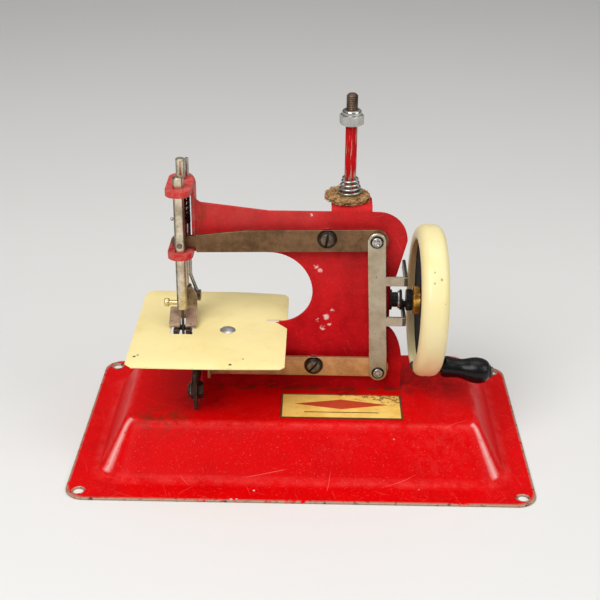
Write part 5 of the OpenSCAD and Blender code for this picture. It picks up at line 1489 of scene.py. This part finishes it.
# How far each slot is turned, in degrees
SLOT_TURNS = {"needle_lever_screw": 80, "looper_lever_screw": 50}
BLOCK_FACES = ((0, 1, 3, 2), (4, 6, 7, 5), (0, 4, 5, 1), (2, 3, 7, 6), (0, 2, 6, 4), (1, 5, 7, 3))


def slotted_screw(node, turn):
    """Shoulder screw with a shallow round head, ringed and slotted."""
    size = span(node)
    radius, deep, soft = size.x / 2, size.y, SCREW_SOFT
    front = seat(node, Y)
    rim = corner_arc((SCREW_RING_DEEP + soft, radius - soft), soft, 180, 90, 7)
    profile = headed(SCREW_FACE, radius, rim, SCREW_HEAD_H, SCREW_SHANK_R, deep)
    piece = add_piece(node + ".slotted", lathe(profile, SCREW_FACETS, along(BACK, front)), ["screw"])
    wide, sunk = SCREW_SLOT
    block = [
        Vector((sx * 2 * radius, sy * sunk, sz * wide / 2))
        for sx in (-1, 1) for sy in (-1, 1) for sz in (-1, 1)
    ]
    place = Matrix.Translation(front) @ Matrix.Rotation(math.radians(-turn), 4, "Y")
    cut_away(piece, moved((block, BLOCK_FACES), place), "black")
    return stand_for(piece, node)


RIVET_R = 2.3 * MM
RIVET_SHANK_R = 1.45 * MM
RIVET_HEAD_H = 1.0 * MM
RIVET_SOFT = 0.45 * MM
RIVET_FACETS = 48
HEAD_SHARP = 50
RIVET_FACE = ((0.25 * MM, 0.0), (0.1 * MM, 0.3), (0.4 * MM, 0.5))


def pan_rivet(node):
    """Bright rivet with a ringed, dished pan head at the front."""
    rim = corner_arc((RIVET_SOFT, RIVET_R - RIVET_SOFT), RIVET_SOFT, 200, 90, 7)
    profile = headed(RIVET_FACE, RIVET_R, rim, RIVET_HEAD_H, RIVET_SHANK_R, span(node).y)
    shape = lathe(profile, RIVET_FACETS, along(BACK, seat(node, Y)))
    return formed(node, "headed", shape, "bright", HEAD_SHARP)


# The lift pin's shank from the ball to its end: place from either end and radius, in the ball's radii
LIFT_NECK = (2.2, 0.75)
LIFT_END = (0.3, 0.5)
LIFT_FACETS = 32


def lift_pin():
    """Pin that lifts the presser bar, with a small ball at its free end."""
    size = span("presser_lift_pin")
    axis = max((X, Y, Z), key=lambda i: size[i])
    ball, length = min(size) / 2, size[axis]
    shank = LIFT_NECK[1] * ball
    profile = (
        [(0.0, 0.0)]
        + corner_arc((ball, 0.0), ball, 180, 90, 8)[1:]
        + [(LIFT_NECK[0] * ball, shank), (length - LIFT_END[0] * ball, shank)]
        + [(length, LIFT_END[1] * ball), (length, 0.0)]
    )
    shape = lathe(profile, LIFT_FACETS, along((RIGHT, BACK, UP)[axis], seat("presser_lift_pin", axis)))
    return formed("presser_lift_pin", "turned", shape, "bright", HEAD_SHARP)


# Nodes that keep their CAD shape, by face and edge finish and edge width in millimetres
DRESSED = {
    ("badge", "dark", 0.15): ("name_plate",),
    ("frame", "frame_edge", 0.4): ("frame_plate",),
    ("dark", "dark_edge", 0.25): ("foot_rivets", "presser_collar", "looper_bracket"),
    ("dark", "dark_edge", 0.22): ("looper",),
    ("dark", "dark_edge", 0.2): ("feed_lever", "bracket_rivets"),
    ("dark", "worn", 0.2): ("looper_bolt",),
    ("black", "dark_edge", 0.2): ("bearing_bush", "crankshaft"),
    ("disc", "disc", 0.15): ("wheel_disc",),
    ("zinc", "zinc", 0.2): ("table_rivet", "lever_spacers", "looper_drive_pin"),
    ("zinc", "zinc", 0.15): ("thrust_washer", "shaft_clip"),
    ("bright", "bright", 0.1): ("presser_guide_wire",),
    ("bar", "bar", 0.15): ("needle_bar", "presser_bar"),
    ("screw", "screw", 0.05): ("needle",),
    ("screw", "dark_edge", 0.25): ("knob_bolt",),
    ("foot", "dark_edge", 0.2): ("needle_bar_pin",),
    ("foot", "worn", 0.22): ("presser_foot",),
    ("link", "worn", 0.25): ("yoke_link",),
    ("bronze", "bronze_edge", 0.22): ("needle_lever",),
    ("tan", "bronze_edge", 0.22): ("looper_lever",),
}


# Stage


FLOOR_HALF = 3.0
LIGHT_AIM = Vector((0.0, 0.0, 0.06))
# Place, size and watts of each light
LIGHTS = {
    "key": ((-0.42, -0.66, 0.9), 0.8, 10),
    "right_fill": ((0.8, -0.4, 0.6), 0.7, 3.2),
    "overhead": ((0.1, 0.1, 1.2), 0.9, 3),
}
# Strength of the surroundings at the horizon and straight up
WORLD_GLOW = (0.1, 0.5)


def pale_floor():
    """Plain pale floor under and round the part."""
    verts = [Vector((sx, sy, 0)) * FLOOR_HALF for sx, sy in ((-1, -1), (1, -1), (1, 1), (-1, 1))]
    add_piece("floor", (verts, [[0, 1, 2, 3]]), ["floor"])


def light_stage():
    """Soft studio light: three discs and a pale sky that fades towards the horizon."""
    for name, (place, size, watts) in LIGHTS.items():
        light = bpy.data.lights.new(name, "AREA")
        light.shape = "DISK"
        light.size = size
        light.energy = watts
        lamp = bpy.data.objects.new(name, light)
        lamp.location = place
        lamp.rotation_euler = (LIGHT_AIM - Vector(place)).to_track_quat("-Z", "Y").to_euler()
        bpy.context.scene.collection.objects.link(lamp)
    world = bpy.data.worlds.new("studio")
    world.use_nodes = True
    tree = world.node_tree
    backdrop = tree.nodes["Background"]
    backdrop.inputs["Color"].default_value = (1.0, 1.0, 1.0, 1.0)
    kinds = ("TexCoord", "SeparateXYZ", "MapRange")
    sky, split, rise = (tree.nodes.new("ShaderNode" + kind) for kind in kinds)
    rise.inputs["To Min"].default_value, rise.inputs["To Max"].default_value = WORLD_GLOW
    tree.links.new(sky.outputs["Generated"], split.inputs[0])
    tree.links.new(split.outputs["Z"], rise.inputs["Value"])
    tree.links.new(rise.outputs["Result"], backdrop.inputs["Strength"])
    bpy.context.scene.world = world
    bpy.context.scene.view_settings.view_transform = "Standard"


add_camera()
light_stage()
pale_floor()
base_pan()
work_table()
wheel_rim()
wheel_hub()
crank_knob()
collar_knurl()
spool_pin()
spool_lock_nut()
tension_spring()
presser_spring()
felt_washer()
hex_nuts()
clamp_screw()
for screw, turn in SLOT_TURNS.items():
    slotted_screw(screw, turn)
lift_pin()
for rivet in ("yoke_top_rivet", "yoke_bottom_rivet"):
    pan_rivet(rivet)
for (face, edge, width), members in DRESSED.items():
    for node in members:
        dressed(node, face, edge, width)
